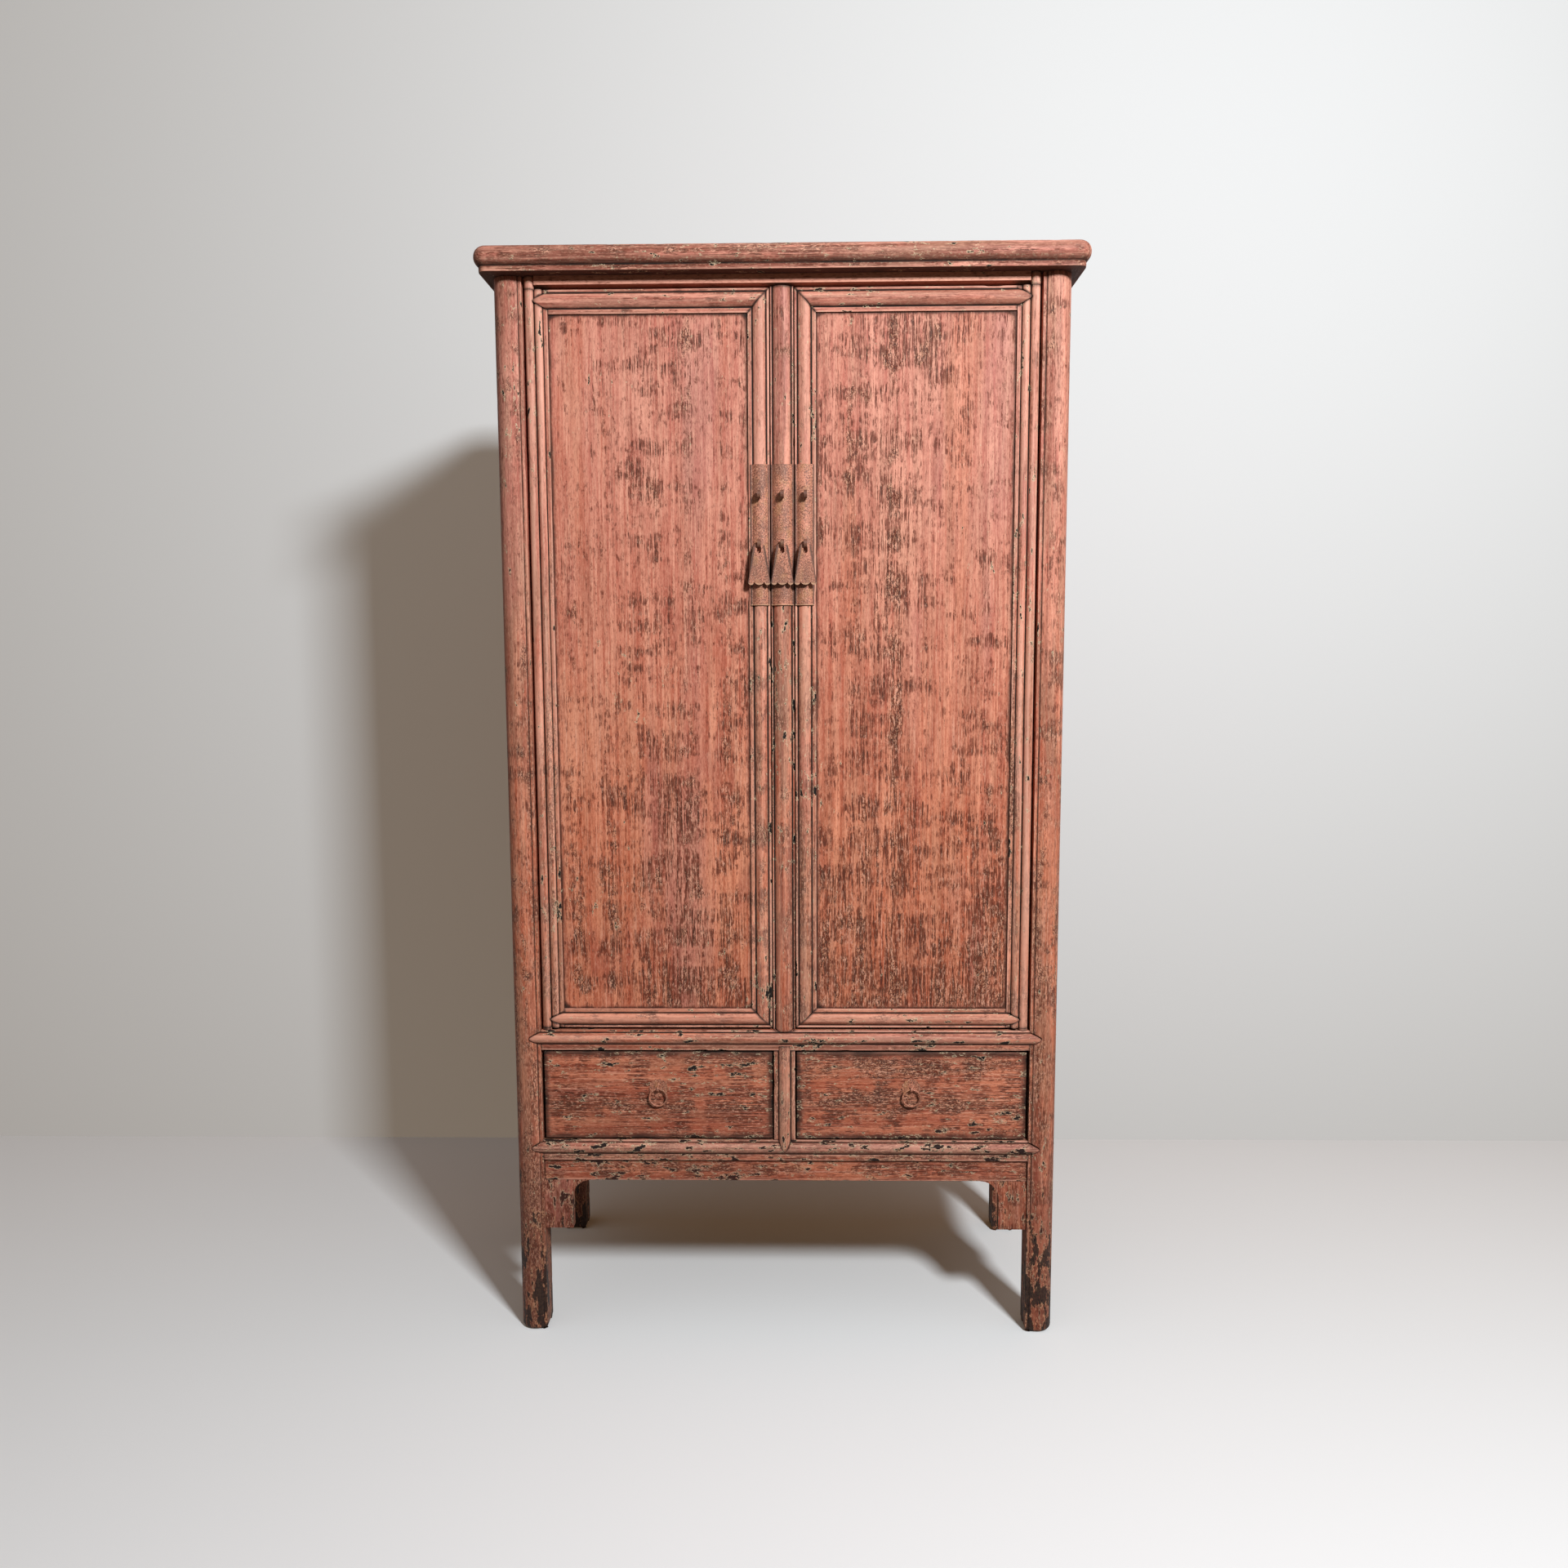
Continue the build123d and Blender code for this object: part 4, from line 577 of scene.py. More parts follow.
def makePiece(node, parts, finish, body="carcass"):
    # joins the parts into one mesh, whose place is in its vertices; it takes the place of the CAD node
    name = f"{node}_worn"
    points = np.vstack([part["points"] for part in parts])
    offsets = np.cumsum([0] + [len(part["points"]) for part in parts])
    quads = np.vstack([part["quads"] + start for part, start in zip(parts, offsets)])
    caps = np.vstack([part["caps"] + start for part, start in zip(parts, offsets)])
    mesh = bpy.data.meshes.new(name)
    mesh.vertices.add(len(points))
    mesh.vertices.foreach_set("co", points.astype(np.float32).ravel())
    loops = np.concatenate([quads.ravel(), caps.ravel()]).astype(np.int32)
    mesh.loops.add(len(loops))
    mesh.loops.foreach_set("vertex_index", loops)
    starts = np.concatenate([np.arange(len(quads)) * 4, len(quads) * 4 + np.arange(len(caps)) * 3])
    mesh.polygons.add(len(starts))
    mesh.polygons.foreach_set("loop_start", starts.astype(np.int32))
    smooth = np.concatenate([np.ones(len(quads), bool), np.zeros(len(caps), bool)])
    mesh.polygons.foreach_set("use_smooth", smooth)
    mesh.update(calc_edges=True)
    mesh.validate()
    for title in ("groove", "ridge_and_highlight"):
        values = np.concatenate([part[title] for part in parts]).astype(np.float32)
        mesh.attributes.new(title, "FLOAT", "POINT").data.foreach_set("value", values)
    mesh.materials.append(finishes[finish])
    piece = bpy.data.objects.new(name, mesh)
    scene.collection.objects.link(piece)
    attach(piece, body)
    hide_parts(node)


# carcass: lengths in mm, levels from the floor, left is towards lower x and the front towards lower y
carcass = {
    "halfWidth": 485.0, "halfDepth": 220.0, "leg": 50.0, "legTop": 1857.0, "footRound": 9.0,
    "rails": {"low": (322.5, 38.0), "mid": (526.5, 36.5)}, "highRail": (1807.0, 50.0),
    "railFace": 216.0, "railDepth": 40.0, "sideRail": 30.0, "bead": 22.0, "beadEdge": 4.0, "beadRise": 6.0,
    "nose": 20.0, "noseBend": 1.57, "divider": 38.0, "panelSetback": 11.0, "panelThick": 10.0, "tongue": 7.0,
    "panelEdge": 10.0, "sideJoints": [118.0, 231.0],
}
hands = {"left": -1, "right": 1}
xAxis, yAxis, zAxis = np.eye(3)
halfWidth, halfDepth, leg = carcass["halfWidth"], carcass["halfDepth"], carcass["leg"]
innerX, innerY = halfWidth - leg, halfDepth - leg


def noseLength(across, width, length):
    # how far the bead's end reaches past its shoulder: length * (1 - (2 across / width) ^ bend); a larger bend
    # makes the sides of the point fuller
    return length * (1 - np.clip(np.abs(across) * 2 / width, 0, 1) ** carcass["noseBend"])


def noseDistance(reach, across, width, length):
    # signed distance, below zero inside the pointed outline whose tip lies at reach = length
    half = width / 2 * np.clip(1 - reach / length, 0, 1) ** (1 / carcass["noseBend"])
    beyond = np.hypot(np.clip(reach - length, 0, None), across)
    return np.where(reach > length, beyond, (np.abs(across) - half) * 0.8)


def beadNoses(middle, width, length, front):
    # cut for a bar's end: only the bead in front runs on into a nose
    return lambda x, y: np.where(y > front, noseLength(x - middle, width, length), 0.0)


def pocketPull(distance, inFront, deep):
    # the seat that a nose is let into, with a fine groove round it
    return inFront * (deep * smoothStep(-distance, -0.2, 0.9) + 0.5 * np.exp(-((distance - 0.6) / 0.8) ** 2))


def letIn(seats, deep=7.0):
    # what sweptBar needs for the seats of noses, given as (distance, in front) of each point: how deep the seat
    # is, and grime that falls off as exp(-distance / 1.5)
    return {"inset": lambda grid: sum(pocketPull(distance, inFront, deep) for distance, inFront in seats(grid)),
            "groove": lambda grid: np.max([inFront * np.exp(-np.abs(distance) / 1.5)
                                           for distance, inFront in seats(grid)], axis=0)}


def legOutline():
    # a square whose outer corner is a quarter circle, with a shallow arc on each face beside it
    crest = arcThrough((43, 47.2), (34.7, 49.29), (26, 50), 14)
    corner = [(26 + 26 * math.cos(a), 24 + 26 * math.sin(a)) for a in np.linspace(math.pi / 2, math.pi, 30)]
    side = arcThrough((0, 24), (0.71, 15.3), (2.8, 7), 14)
    return [(50, 0), (50, 46), (43, 46)] + crest + corner[1:] + side[1:] + [(4, 7), (4, 0)]


railMiddles = [level + height - carcass["beadEdge"] - carcass["bead"] / 2
               for level, height in carcass["rails"].values()]


def legSeats(side, end):
    # the noses that a leg receives, as (reach, across, in front) of each point
    def seats(grid):
        across = [grid[..., 2] - middle for middle in railMiddles]
        found = [(grid[..., 1] * end - innerY, t, (grid[..., 0] * side > halfWidth - 6)) for t in across]
        if end < 0:
            found += [(grid[..., 0] * side - innerX, t, (-grid[..., 1] > halfDepth - 6)) for t in across]
        return [(noseDistance(reach, t, carcass["bead"], carcass["nose"]), face * (reach > -0.5) * 1.0)
                for reach, t, face in found]
    return seats


def makeLegs():
    for endName, end in (("front", -1), ("back", 1)):
        for sideName, side in hands.items():
            bar = sweptBar(
                legOutline(), (0, carcass["legTop"]), (side * halfWidth, end * innerY, 0), -side * xAxis,
                end * yAxis, zAxis, count=96 if end < 0 else 72, step=7.0, endRound=(carcass["footRound"], 0.2),
                dense=[(middle, 13, 1.0) for middle in railMiddles] + [(60, 60, 3.0)],
                focus=[(28, 50, 45, 51, 4.0), (-1, 3, 0, 22, 4.0)], **letIn(legSeats(side, end)))
            makePiece(f"leg_{endName}_{sideName}", [bar], "leg")


def roundedLap(middle, width, straight, rounded, limit):
    # how far a bar's front part runs on past its end: straight sides, then rounded * sqrt(1 - (2 u / width)
    # squared) with u measured from the middle
    def lap(x, y):
        share = np.clip(np.abs(x - middle) / (width / 2), 0, 1)
        return (y > limit) * (share < 1) * (straight + rounded * np.sqrt(1 - share**2))
    return lap


def railOutline(height, depth):
    # the bead sits near the top edge, above a wider flat
    lowFlat = height - carcass["beadEdge"] - carcass["bead"]
    return beadedSection(height, depth, lowFlat, carcass["beadEdge"], carcass["beadRise"])


def makeRails():
    depth, bead, nose = carcass["railDepth"], carcass["bead"], carcass["nose"]
    lowTop = sum(carcass["rails"]["low"])
    midBottom, midHeight = carcass["rails"]["mid"]
    back = carcass["railFace"] - depth
    for (name, (level, height)), middle in zip(carcass["rails"].items(), railMiddles):
        noses = beadNoses(middle - level, bead, nose, depth - 1.5)

        def seats(grid):
            # the divider's nose in the low rail, the rounded foot of the centre stile in the middle one
            if name == "low":
                distance = noseDistance(lowTop - grid[..., 2], grid[..., 0], bead, nose)
                near = grid[..., 2] < lowTop + 0.5
            else:
                drop = (midBottom + midHeight - grid[..., 2]) / centreStile["lap"]
                across = grid[..., 0] / (centreStile["width"] / 2 - centreStile["edge"])
                distance, near = (np.hypot(drop, across) - 1) * 6, drop > -0.3
            return [(distance, (-grid[..., 1] > carcass["railFace"] - 4) * near * 1.0)]

        bar = sweptBar(railOutline(height, depth), (-innerX, innerX), (0, -back, level), zAxis, -yAxis, xAxis,
                       count=84, dense=[(0, 17, 1.0)], focus=[(8, height, depth - 3, depth + 8, 3.0)],
                       startCut=lambda x, y: -noses(x, y), endCut=noses, dent=1.6, shade=0.85,
                       **letIn(seats, 8.0))
        makePiece(f"front_{name}_rail", [bar], "lowRail" if name == "low" else "rail")
    flat = (carcass["divider"] - bead) / 2
    noses = beadNoses(carcass["divider"] / 2, bead, nose, depth - 1.5)
    section = beadedSection(carcass["divider"], depth, flat, flat, carcass["beadRise"])
    bar = sweptBar(section, (lowTop, midBottom), (-carcass["divider"] / 2, -back, 0), xAxis, -yAxis, zAxis,
                   count=72, step=4.0, startCut=lambda x, y: -noses(x, y), dent=1.4,
                   endCut=roundedLap(carcass["divider"] / 2, bead, 6.5, 3.0, depth - 1.3))
    makePiece("drawer_divider", [bar], "upright")

    for sideName, side in hands.items():
        depth = carcass["sideRail"]
        inner = halfWidth - (halfDepth - carcass["railFace"]) - depth
        bars = []
        for (level, height), middle in zip(carcass["rails"].values(), railMiddles):
            noses = beadNoses(middle - level, bead, nose, depth - 1.5)
            bars.append(sweptBar(railOutline(height, depth), (-innerY, innerY), (side * inner, 0, level), zAxis,
                                 side * xAxis, yAxis, dent=1.3, startCut=lambda x, y: -noses(x, y),
                                 endCut=noses))
        level, height = carcass["highRail"]
        bars.append(sweptBar(boardSection(height, depth), (-innerY, innerY), (side * inner, 0, level), zAxis,
                             side * xAxis, yAxis, count=40))
        makePiece(f"side_rails_{sideName}", bars, "sideRail")


def framedGrime(low, high, axes, radius=16.0, reach=3.2):
    # grime and painted shade on a panel along the frame round it, thick in the rounded corners: falls off with
    # the distance inwards from a rounded rectangle
    middle = [(a + b) / 2 for a, b in zip(low, high)]
    half = [(b - a) / 2 for a, b in zip(low, high)]

    def grimeAndShade(grid):
        over = [np.abs(grid[..., axis] - centre) - (extent - radius)
                for axis, centre, extent in zip(axes, middle, half)]
        inwards = radius - np.hypot(np.clip(over[0], 0, None), np.clip(over[1], 0, None))
        inwards = inwards - np.minimum(np.maximum(over[0], over[1]), 0)
        ragged = 0.8 * reach * (latticeNoise(grid * mm, (60, 60, 60), wear["framedBandSeed"]) - 0.6)
        return 0.8 * np.clip(np.exp(-np.clip(inwards - ragged, 0, None) / reach), 0, 1)
    return grimeAndShade


def panelOutline(width, thick, joints=()):
    # a board with fine open joints between its planks on the front
    front = [(width, thick)]
    for place in sorted(joints, reverse=True):
        front += [(place + 0.45, thick), (place, thick - 0.7), (place - 0.45, thick)]
    return [(0, 0), (width, 0)] + front + [(0, thick)]


def makePanel(low, high, origin, across, out, axes, joints=(), step=9.0):
    # low and high are the corners of the part that shows, as (across, up); the tongues run on into the frame
    tongue, thick, edge = carcass["tongue"], carcass["panelThick"], carcass["panelEdge"]
    width = high[0] - low[0]
    far = tongue + width
    nearSide = min(low[0] * across[axes[0]], high[0] * across[axes[0]])
    start = np.array(origin, float) + across * (nearSide - tongue)
    return sweptBar(panelOutline(far + tongue, thick, [joint + tongue for joint in joints]),
                    (low[1] - tongue, high[1] + tongue), start, across, out, zAxis, count=120, step=step,
                    focus=[(tongue - 1, tongue + edge, thick - 1, thick + 1, 3.0),
                           (far - edge, far + 1, thick - 1, thick + 1, 3.0),
                           (tongue, far, thick - 1, thick + 1, 0.6)],
                    dense=[(low[1] + edge, edge, 1.5), (high[1] - edge, edge, 1.5)], swell=1.6,
                    groove=framedGrime(low, high, axes))


def makeSidePanels():
    levels = [(sum(carcass["rails"]["low"]), carcass["rails"]["mid"][0]),
              (sum(carcass["rails"]["mid"]), carcass["highRail"][0])]
    inner = halfWidth - carcass["panelSetback"] - carcass["panelThick"]
    for sideName, side in hands.items():
        boards = [makePanel((-innerY, low), (innerY, high), (side * inner, 0, 0), yAxis, side * xAxis, (1, 2),
                            carcass["sideJoints"]) for low, high in levels]
        makePiece(f"side_panels_{sideName}", boards, "panel")


# doors and the loose stile between them: inner and outer are distances from the middle of the front, back and
# panelFront distances forwards from the centre of the cabinet
doors = {
    "outer": 431.0, "bottom": 567.4, "top": 1835.5, "back": 187.0, "frontStile": 38.0, "meetingStile": 36.0,
    "inner": 21.3, "topRail": 40.0, "bottomRail": 34.0, "depth": 25.0, "rise": 5.0, "outerFlat": 0.13,
    "innerFlat": 0.21, "pivotRadius": 8.0, "pinRadius": 4.5, "pivotAxis": 22.0, "nose": 23.0,
    "panelFront": 209.0, "mitreGap": 0.15, "pivotLow": 563.3, "pivotHigh": 1856.7, "pinLength": 10.0,
    "joints": {"left": [104.0, 228.0], "right": []},
}
centreStile = {"width": 39.0, "edge": 3.5, "rise": 8.0, "depth": 23.0, "low": 563.3, "high": 1838.0, "lap": 3.4}


def stileOutline():
    # round pivot band, quirk, narrow bead and a flat beside the panel
    band = arcThrough((15.795, 23.8), (8 + 5.6, 22 + 5.7), (8, 30), 14) + arcThrough(
        (8, 30), (8 - 5.66, 22 + 5.66), (0, 22), 14)[1:]
    bead = arcThrough((30.5, 23.8), (23.5, 30), (16.5, 23.8), 24)
    back = arcThrough((0, 6), (1.757, 1.757), (6, 0), 8)
    return back + [(38, 0), (38, 25), (31.7, 25)] + bead + band


def circleOutline(centreX, centreY, radius, count=40):
    # centre + radius * (cosine, sine) of even turns
    turn = np.linspace(0, math.tau, count, endpoint=False)
    return np.stack([centreX + radius * np.cos(turn), centreY + radius * np.sin(turn)], 1).tolist()


def makeDoor(name, hand):
    # hand is -1 for the left door; sections start at the outer edge and run towards the middle
    body, size = f"door_{name}", doors
    low, high, depth, rise = size["bottom"], size["top"], size["depth"], size["rise"]
    stileInner = size["outer"] - size["frontStile"]
    panelInner = size["inner"] + size["meetingStile"]
    rails = {"bottom": (low, size["bottomRail"], size["outerFlat"], size["innerFlat"]),
             "top": (high - size["topRail"], size["topRail"], size["innerFlat"], size["outerFlat"])}
    seats = []
    for level, height, lowShare, highShare in rails.values():
        width = height * (1 - lowShare - highShare)
        seats.append((level + height * lowShare + width / 2, width))

    def noseSeats(grid):
        reach = grid[..., 0] * hand - stileInner
        face = (-grid[..., 1] > size["back"] + depth - 4) * (reach > -0.5) * 1.0
        return [(noseDistance(reach, grid[..., 2] - middle, width, size["nose"]), face)
                for middle, width in seats]

    upright = (hand * size["outer"], -size["back"], 0), -hand * xAxis, -yAxis, zAxis
    stile = sweptBar(stileOutline(), (low, high), *upright, count=88, focus=[(14, 38, 22, 31, 2.5)],
                     dense=[(middle, width / 2 + 3, 1.0) for middle, width in seats], **letIn(noseSeats, 6.0))
    band, pin, foot, head = size["pivotRadius"], size["pinRadius"], size["pivotLow"], size["pivotHigh"]
    runs = [(band, (foot, low)), (band, (high, head)), (pin, (foot - size["pinLength"], foot)),
            (pin, (head, head + size["pinLength"]))]
    pivot = [sweptBar(circleOutline(band, size["pivotAxis"], radius), run, *upright, count=32, swell=0.2,
                      dent=0.0) for radius, run in runs]
    makePiece(f"{body}_outer_stile", [stile] + pivot, "upright", body)

    width = size["meetingStile"]
    gap = size["mitreGap"]
    section = beadedSection(width, depth, width * size["innerFlat"], width * size["outerFlat"], rise)
    stile = sweptBar(section, (low, high), (hand * panelInner, -size["back"], 0), -hand * xAxis, -yAxis, zAxis,
                     count=80, startCut=lambda x, y: size["bottomRail"] * (1 - x / width) + gap,
                     endCut=lambda x, y: -size["topRail"] * (1 - x / width) - gap, dent=1.4)
    makePiece(f"{body}_meeting_stile", [stile], "upright", body)

    for railName, (level, height, lowShare, highShare) in rails.items():
        section = beadedSection(height, depth, height * lowShare, height * highShare, rise)
        middle = height * lowShare + height * (1 - lowShare - highShare) / 2
        noses = beadNoses(middle, height * (1 - lowShare - highShare), size["nose"], depth - 1.5)

        def mitre(x, y):
            share = x / height if railName == "bottom" else 1 - x / height
            return width * share + gap
        bar = sweptBar(section, (size["inner"], stileInner), (0, -size["back"], level), zAxis, -yAxis,
                       hand * xAxis, count=88, startCut=mitre, endCut=noses, dent=1.4)
        makePiece(f"{body}_{railName}_rail", [bar], "cross" if railName == "top" else "foot", body)

    corners = sorted((hand * panelInner, hand * stileInner))
    origin = (0, -size["panelFront"] + carcass["panelThick"], 0)
    board = makePanel((corners[0], low + size["bottomRail"]), (corners[1], high - size["topRail"]), origin,
                      xAxis, -yAxis, (0, 2), size["joints"][name], step=10.0)
    makePiece(f"{body}_panel", [board], "panel" if hand < 0 else "panelRight", body)


def makeCentreStile():
    size = centreStile
    half = size["width"] / 2 - size["edge"]

    def foot(x, y):
        # the bead runs on below the stile in a rounded foot
        share = np.clip(np.abs(x - size["width"] / 2) / half, 0, 1)
        return np.where(y > size["depth"] - 2.0, -size["lap"] * (1 - share**4), 0.0)
    section = beadedSection(size["width"], size["depth"], size["edge"], size["edge"], size["rise"])
    bar = sweptBar(section, (size["low"], size["high"]), (-size["width"] / 2, -doors["back"], 0), xAxis, -yAxis,
                   zAxis, count=80, startCut=foot, dent=1.5)
    makePiece("centre_stile", [bar], "centre", "centre_stile")


# top: four mitred members with a thumb moulding
top = {"halfLong": 510.0, "halfDeep": 250.0, "level": 1857.0, "member": 80.0, "thick": 43.0, "corner": 22.0,
       "mitreGap": 0.12}


def topOutline():
    # x runs inwards from the outer edge, y up: a narrow band set back, a thumb moulding above it, a flat top
    lower = arcThrough((0, 24.5), (2.33, 15.74), (8, 9.8), 16)
    upper = arcThrough((17.5, 43), (5.126, 37.874), (0, 25.5), 20)
    return [(8, 0), (top["member"], 0), (top["member"], top["thick"])] + upper + lower


def topMember(facing):
    # a member of the ring, mitred at both ends: at each inset the path is the straight edge and half of each
    # rounded corner, walked by equal shares of its length
    section, normals, relief = wornSection(topOutline(), 84, 0.6, 1.8)
    deep = facing[1] != 0
    longHalf, crossHalf = (top["halfLong"], top["halfDeep"]) if deep else (top["halfDeep"], top["halfLong"])
    long = xAxis if deep else yAxis
    out = np.array([facing[0], facing[1], 0.0])
    ends = 1 - np.array([0.0, 0.4, 0.9, 1.6, 2.6, 4, 6, 9, 12, 15, 18, 22, 27, 33]) / longHalf
    share = np.unique(np.concatenate([np.linspace(-0.94, 0.94, int(longHalf / 3.2)), ends, -ends]))[:, None]
    inset, rise = section[:, 0][None], section[:, 1][None]
    radius = np.clip(top["corner"] - inset, 0, None)
    straight = longHalf - np.maximum(inset, top["corner"]) - top["mitreGap"]
    walked = np.abs(share) * (straight + radius * math.pi / 4)
    turn = np.clip(walked - straight, 0, None) / np.maximum(radius, 1e-6)
    along = np.sign(share) * (np.minimum(walked, straight) + radius * np.sin(turn))
    cross = crossHalf - np.maximum(inset, top["corner"]) + radius * np.cos(turn)
    grid = (along[..., None] * long + cross[..., None] * out
            + (top["level"] + rise + 0 * along)[..., None] * zAxis)
    turned = np.cos(turn)[..., None] * out + (np.sin(turn) * np.sign(share))[..., None] * long
    outward = -normals[:, 0][None, :, None] * turned + normals[:, 1][None, :, None] * zAxis
    edge = np.clip(relief / 0.4, 0, 1)[None]
    pull = wear["topSwell"] * latticeNoise(grid * mm, (9, 9, 9), wear["topSeed"])
    worn = smoothStep(latticeNoise(grid * mm, (60, 60, 60), wear["topSeed"] + 1), 0.66, 0.88)
    pull = pull + worn * (0.25 + 0.9 * edge)
    grid = grid - outward * pull[..., None]
    fromEnd = (1 - np.abs(share)) * longHalf
    hollow = np.maximum(np.clip(-relief / 0.4, 0, 1)[None] + 0 * along, 0.5 * np.exp(-fromEnd / 1.2))
    # painted shade: the thumb moulding darkens as its lower half turns to face down
    hollow = np.maximum(hollow, 0.6 * np.clip(-normals[:, 1], 0, 1)[None] ** 1.2)
    crest = edge * (1 - np.clip(hollow, 0, 1))
    return closedSkin(grid, hollow, crest, [-out, zAxis, long])


def makeTop():
    for name, sides, finish in (("front", [(0, -1)], "top"), ("back", [(0, 1)], "top"),
                                ("ends", [(-1, 0), (1, 0)], "topEnd")):
        makePiece(f"top_frame_{name}", [topMember(side) for side in sides], finish)


# drawer fronts and front apron: boards with worn edges
drawers = {"inner": 21.5, "outer": 430.0, "low": 363.7, "high": 523.3, "front": 215.0, "thick": 18.0}
apron = {"low": 283.0, "high": 322.3, "front": 211.0, "thick": 18.0}


def makeBoards():
    for name, hand in hands.items():
        size = drawers
        run = sorted((hand * size["inner"], hand * size["outer"]))
        # painted shade: the drawer front darkens towards its edges, beside the dark gap round it, along with
        # grime
        board = sweptBar(boardSection(size["high"] - size["low"], size["thick"]), run,
                         (0, -size["front"] + size["thick"], size["low"]), zAxis, -yAxis, xAxis, count=110,
                         step=4.0, rounding=0.7, endRound=(1.4, 1.4), dent=1.8, swell=1.6,
                         focus=[(0, 160, 17, 19, 1.0)],
                         groove=framedGrime((run[0], size["low"]), (run[1], size["high"]), (0, 2), 8.0, 6.0))
        makePiece(f"drawer_{name}_front", [board], "drawer", f"drawer_{name}")
    size = apron
    board = sweptBar(boardSection(size["high"] - size["low"], size["thick"]), (-innerX, innerX),
                     (0, -size["front"] + size["thick"], size["low"]), zAxis, -yAxis, xAxis, count=64, step=4.0,
                     rounding=0.6, dent=1.8)
    makePiece("front_apron", [board], "apron")


makeLegs()
makeRails()
makeSidePanels()
for doorName, doorHand in hands.items():
    makeDoor(doorName, doorHand)
makeCentreStile()
makeTop()
makeBoards()

# finishes of the CAD pieces that stay
cadFinishes = {
    "front_top_rail": "topRail", "front_brackets": "bracket", "side_aprons": "sideRail",
    "top_panel": "top", "back_rails": "rail", "back_panels": "panel", "back_muntin": "upright",
    "deck_board": "bareX", "shelves": "bareX", "shelf_bearers": "bareY", "drawer_runners": "bareY",
}
for side in hands:
    cadFinishes[f"door_{side}_battens"] = "cross"
    cadFinishes[f"door_{side}_staples"] = "staple"
    cadFinishes[f"drawer_{side}_box"] = "bareY"
    cadFinishes[f"drawer_{side}_bottom"] = "bareX"
    for part in ("pull_plate", "pull_staple", "pull_ring"):
        cadFinishes[f"drawer_{side}_{part}"] = "pull"
cadFinishes["centre_staples"] = "staple"
plates = {"centre_plate": (0.0, 0.0022), "centre_pendant": (0.55, 0.0045)}
for side in hands:
    plates[f"door_{side}_face_plate"] = plates["centre_plate"]
    plates[f"door_{side}_pendant"] = plates["centre_pendant"]
for name, settings in plates.items():
    finishes[name] = ironFor(name, *settings)
    cadFinishes[name] = name
for name, node in nodes.items():
    if node.hide_render:
        continue
    node.data.materials.clear()
    node.data.materials.append(finishes[cadFinishes.get(name, "panel")])
print("CAD pieces that stay:", len([node for node in nodes.values() if not node.hide_render]))


# floor, wall, lamp and camera
studio = {
    "floor": tint(235, 238, 241), "wall": tint(216, 220, 224), "wallY": 0.66, "reach": 14.0,
    "bounce": (0.26, 0.15, 0.09, 1.0), "floorGlow": (0.032, 0.016, 0.004), "wallGlow": (0.11, 0.083, 0.058),
    "backdrop": tint(190, 189, 187), "zenith": (0.56, 0.56, 0.56, 1.0), "horizon": (0.09, 0.066, 0.044, 1.0),
    "ground": (0.08, 0.055, 0.034, 1.0),
}
keyLamp = {"place": (1.49, -2.92, 2.99), "aim": (0.0, 0.0, 1.0), "size": 0.5, "power": 160.0, "spread": 180.0,
           "colour": (0.96, 0.99, 1.0)}


def stagePlane(name, corners, material):
    mesh = bpy.data.meshes.new(name)
    mesh.from_pydata(corners, [], [(i, i + 1, i + 3, i + 2) for i in range(0, len(corners) - 2, 2)])
    mesh.shade_smooth()
    mesh.materials.append(material)
    plane = bpy.data.objects.new(name, mesh)
    scene.collection.objects.link(plane)
    return plane


def stageMaterial(name, colour, bounce, glow, seeThroughBack):
    # pale matt surface, darker and warmer in the light that it throws back, with a faint glow that only the
    # camera and reflections see; its back can be clear
    material = bpy.data.materials.new(name)
    material.use_nodes = True
    tree = ShaderTree(material.node_tree)
    shader = tree.nodes["Principled BSDF"]
    shader.inputs["Roughness"].default_value = 0.9
    shader.inputs["Specular IOR Level"].default_value = 0.1
    path = tree.add("LightPath")
    tree.plug(shader.inputs["Base Color"], tree.mix(path.outputs["Is Diffuse Ray"], colour, bounce))
    seen = tree.most(path.outputs["Is Camera Ray"], path.outputs["Is Glossy Ray"])
    shader.inputs["Emission Color"].default_value = (*glow, 1.0)
    tree.plug(shader.inputs["Emission Strength"], seen)
    surface = shader.outputs[0]
    if seeThroughBack:
        clear = tree.add("BsdfTransparent").outputs[0]
        behind = tree.add("NewGeometry").outputs["Backfacing"]
        surface = tree.add("MixShader", {0: behind, 1: surface, 2: clear}).outputs[0]
    tree.plug(tree.nodes["Material Output"].inputs["Surface"], surface)
    return material


reach, wallY = studio["reach"], studio["wallY"]
floorMaterial = stageMaterial("floorPale", studio["floor"], studio["bounce"], studio["floorGlow"], False)
wallMaterial = stageMaterial("wallPale", studio["wall"], studio["bounce"], studio["wallGlow"], True)
floor = stagePlane("floor", [(x, y, 0) for y in (-reach, reach) for x in (-reach, reach)], floorMaterial)
floor.visible_diffuse = False
wall = stagePlane("wall", [(x, wallY, z) for z in (0, reach) for x in (-reach, reach)], wallMaterial)
wall.visible_shadow = False

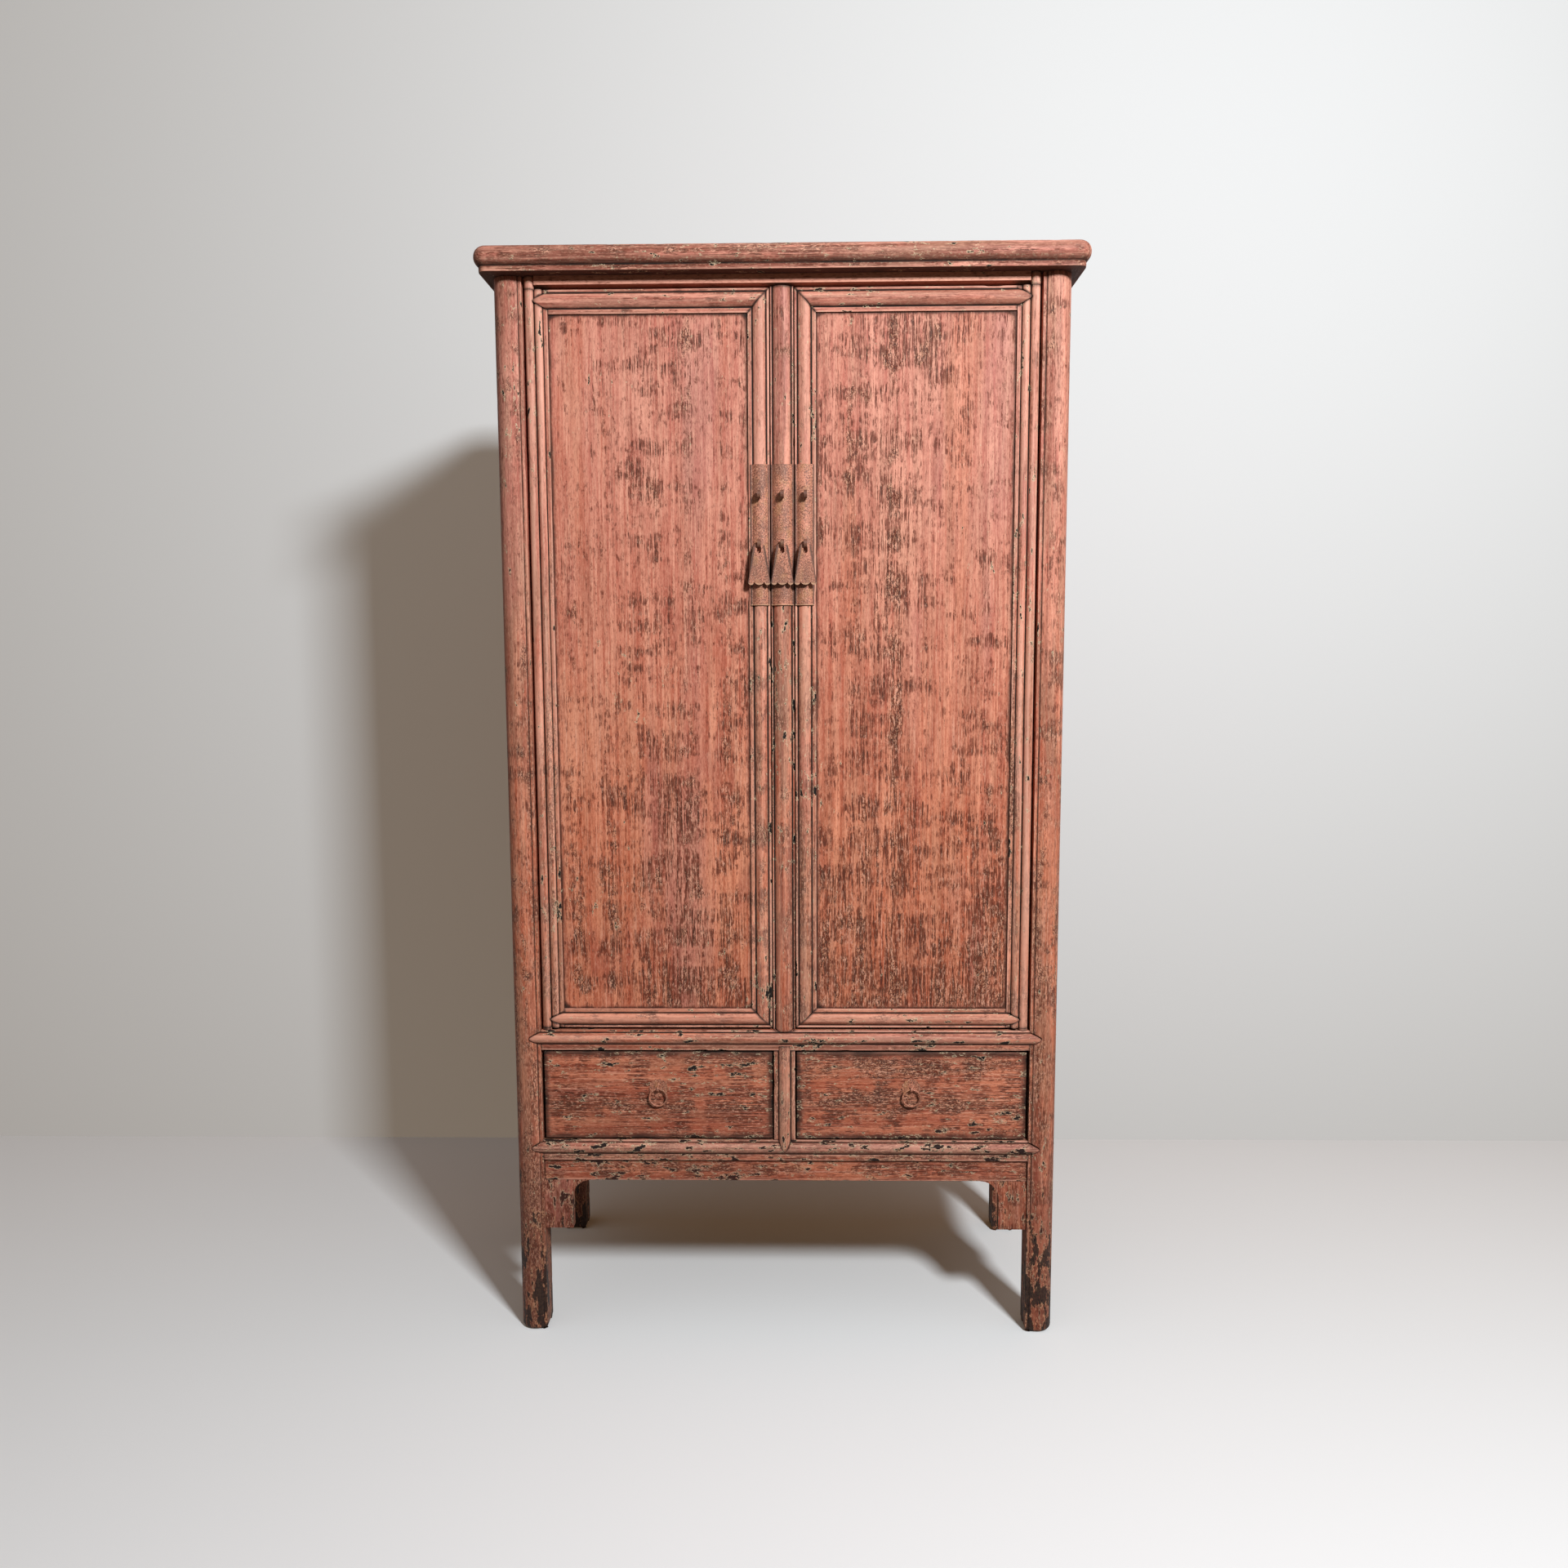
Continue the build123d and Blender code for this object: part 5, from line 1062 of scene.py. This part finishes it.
world = bpy.data.worlds.new("studioAir")
scene.world = world
world.use_nodes = True
airNodes = ShaderTree(world.node_tree)
rise = airNodes.add("SeparateXYZ", {0: airNodes.add("TexCoord").outputs["Generated"]}).outputs["Z"]
# the air brightens with the square of the height, and darkens below the horizon
above = airNodes.mix(airNodes.times(rise, rise), studio["horizon"], studio["zenith"])
airColour = airNodes.mix(airNodes.ramp(rise, -0.1, 0.05), studio["ground"], above)
path = airNodes.add("LightPath").outputs
seenDirectly = airNodes.most(path["Is Camera Ray"], path["Is Glossy Ray"])
airNodes.plug(airNodes.nodes["Background"].inputs["Color"],
              airNodes.mix(seenDirectly, airColour, studio["backdrop"]))


def placeIn(item, axes, place):
    # links the item into the scene, with its own axes as the columns of its matrix
    item.matrix_world = Matrix([*zip(*axes)]).to_4x4()
    item.location = place
    scene.collection.objects.link(item)


lamp = bpy.data.objects.new("keyLamp", bpy.data.lights.new("keyLamp", "AREA"))
lamp.data.size, lamp.data.energy, lamp.data.color = keyLamp["size"], keyLamp["power"], keyLamp["colour"]
lamp.data.spread = math.radians(keyLamp["spread"])
back = np.array(keyLamp["place"]) - np.array(keyLamp["aim"])
back /= np.linalg.norm(back)
right = np.cross((0, 0, 1), back)
right /= np.linalg.norm(right)
placeIn(lamp, [right, np.cross(back, right), back], keyLamp["place"])

view = {"place": (0.0381, -2.2803, 1.2229), "down": 6.065, "turn": -1.026, "roll": -0.227, "lens": 27.44}
pitch, yaw, roll = (math.radians(view[key]) for key in ("down", "turn", "roll"))
forward = np.array([math.sin(yaw) * math.cos(pitch), math.cos(yaw) * math.cos(pitch), -math.sin(pitch)])
right = np.array([math.cos(yaw), -math.sin(yaw), 0.0])
up = np.cross(right, forward)
rightTurned = math.cos(roll) * right + math.sin(roll) * up
upTurned = math.cos(roll) * up - math.sin(roll) * right
camera = bpy.data.objects.new("camera", bpy.data.cameras.new("camera"))
camera.data.lens = view["lens"]
camera.data.sensor_width = 36.0
camera.data.clip_end = 100.0
placeIn(camera, [rightTurned, upTurned, -forward], view["place"])
scene.camera = camera
scene.view_settings.view_transform = "Standard"
print("studio and camera ready")
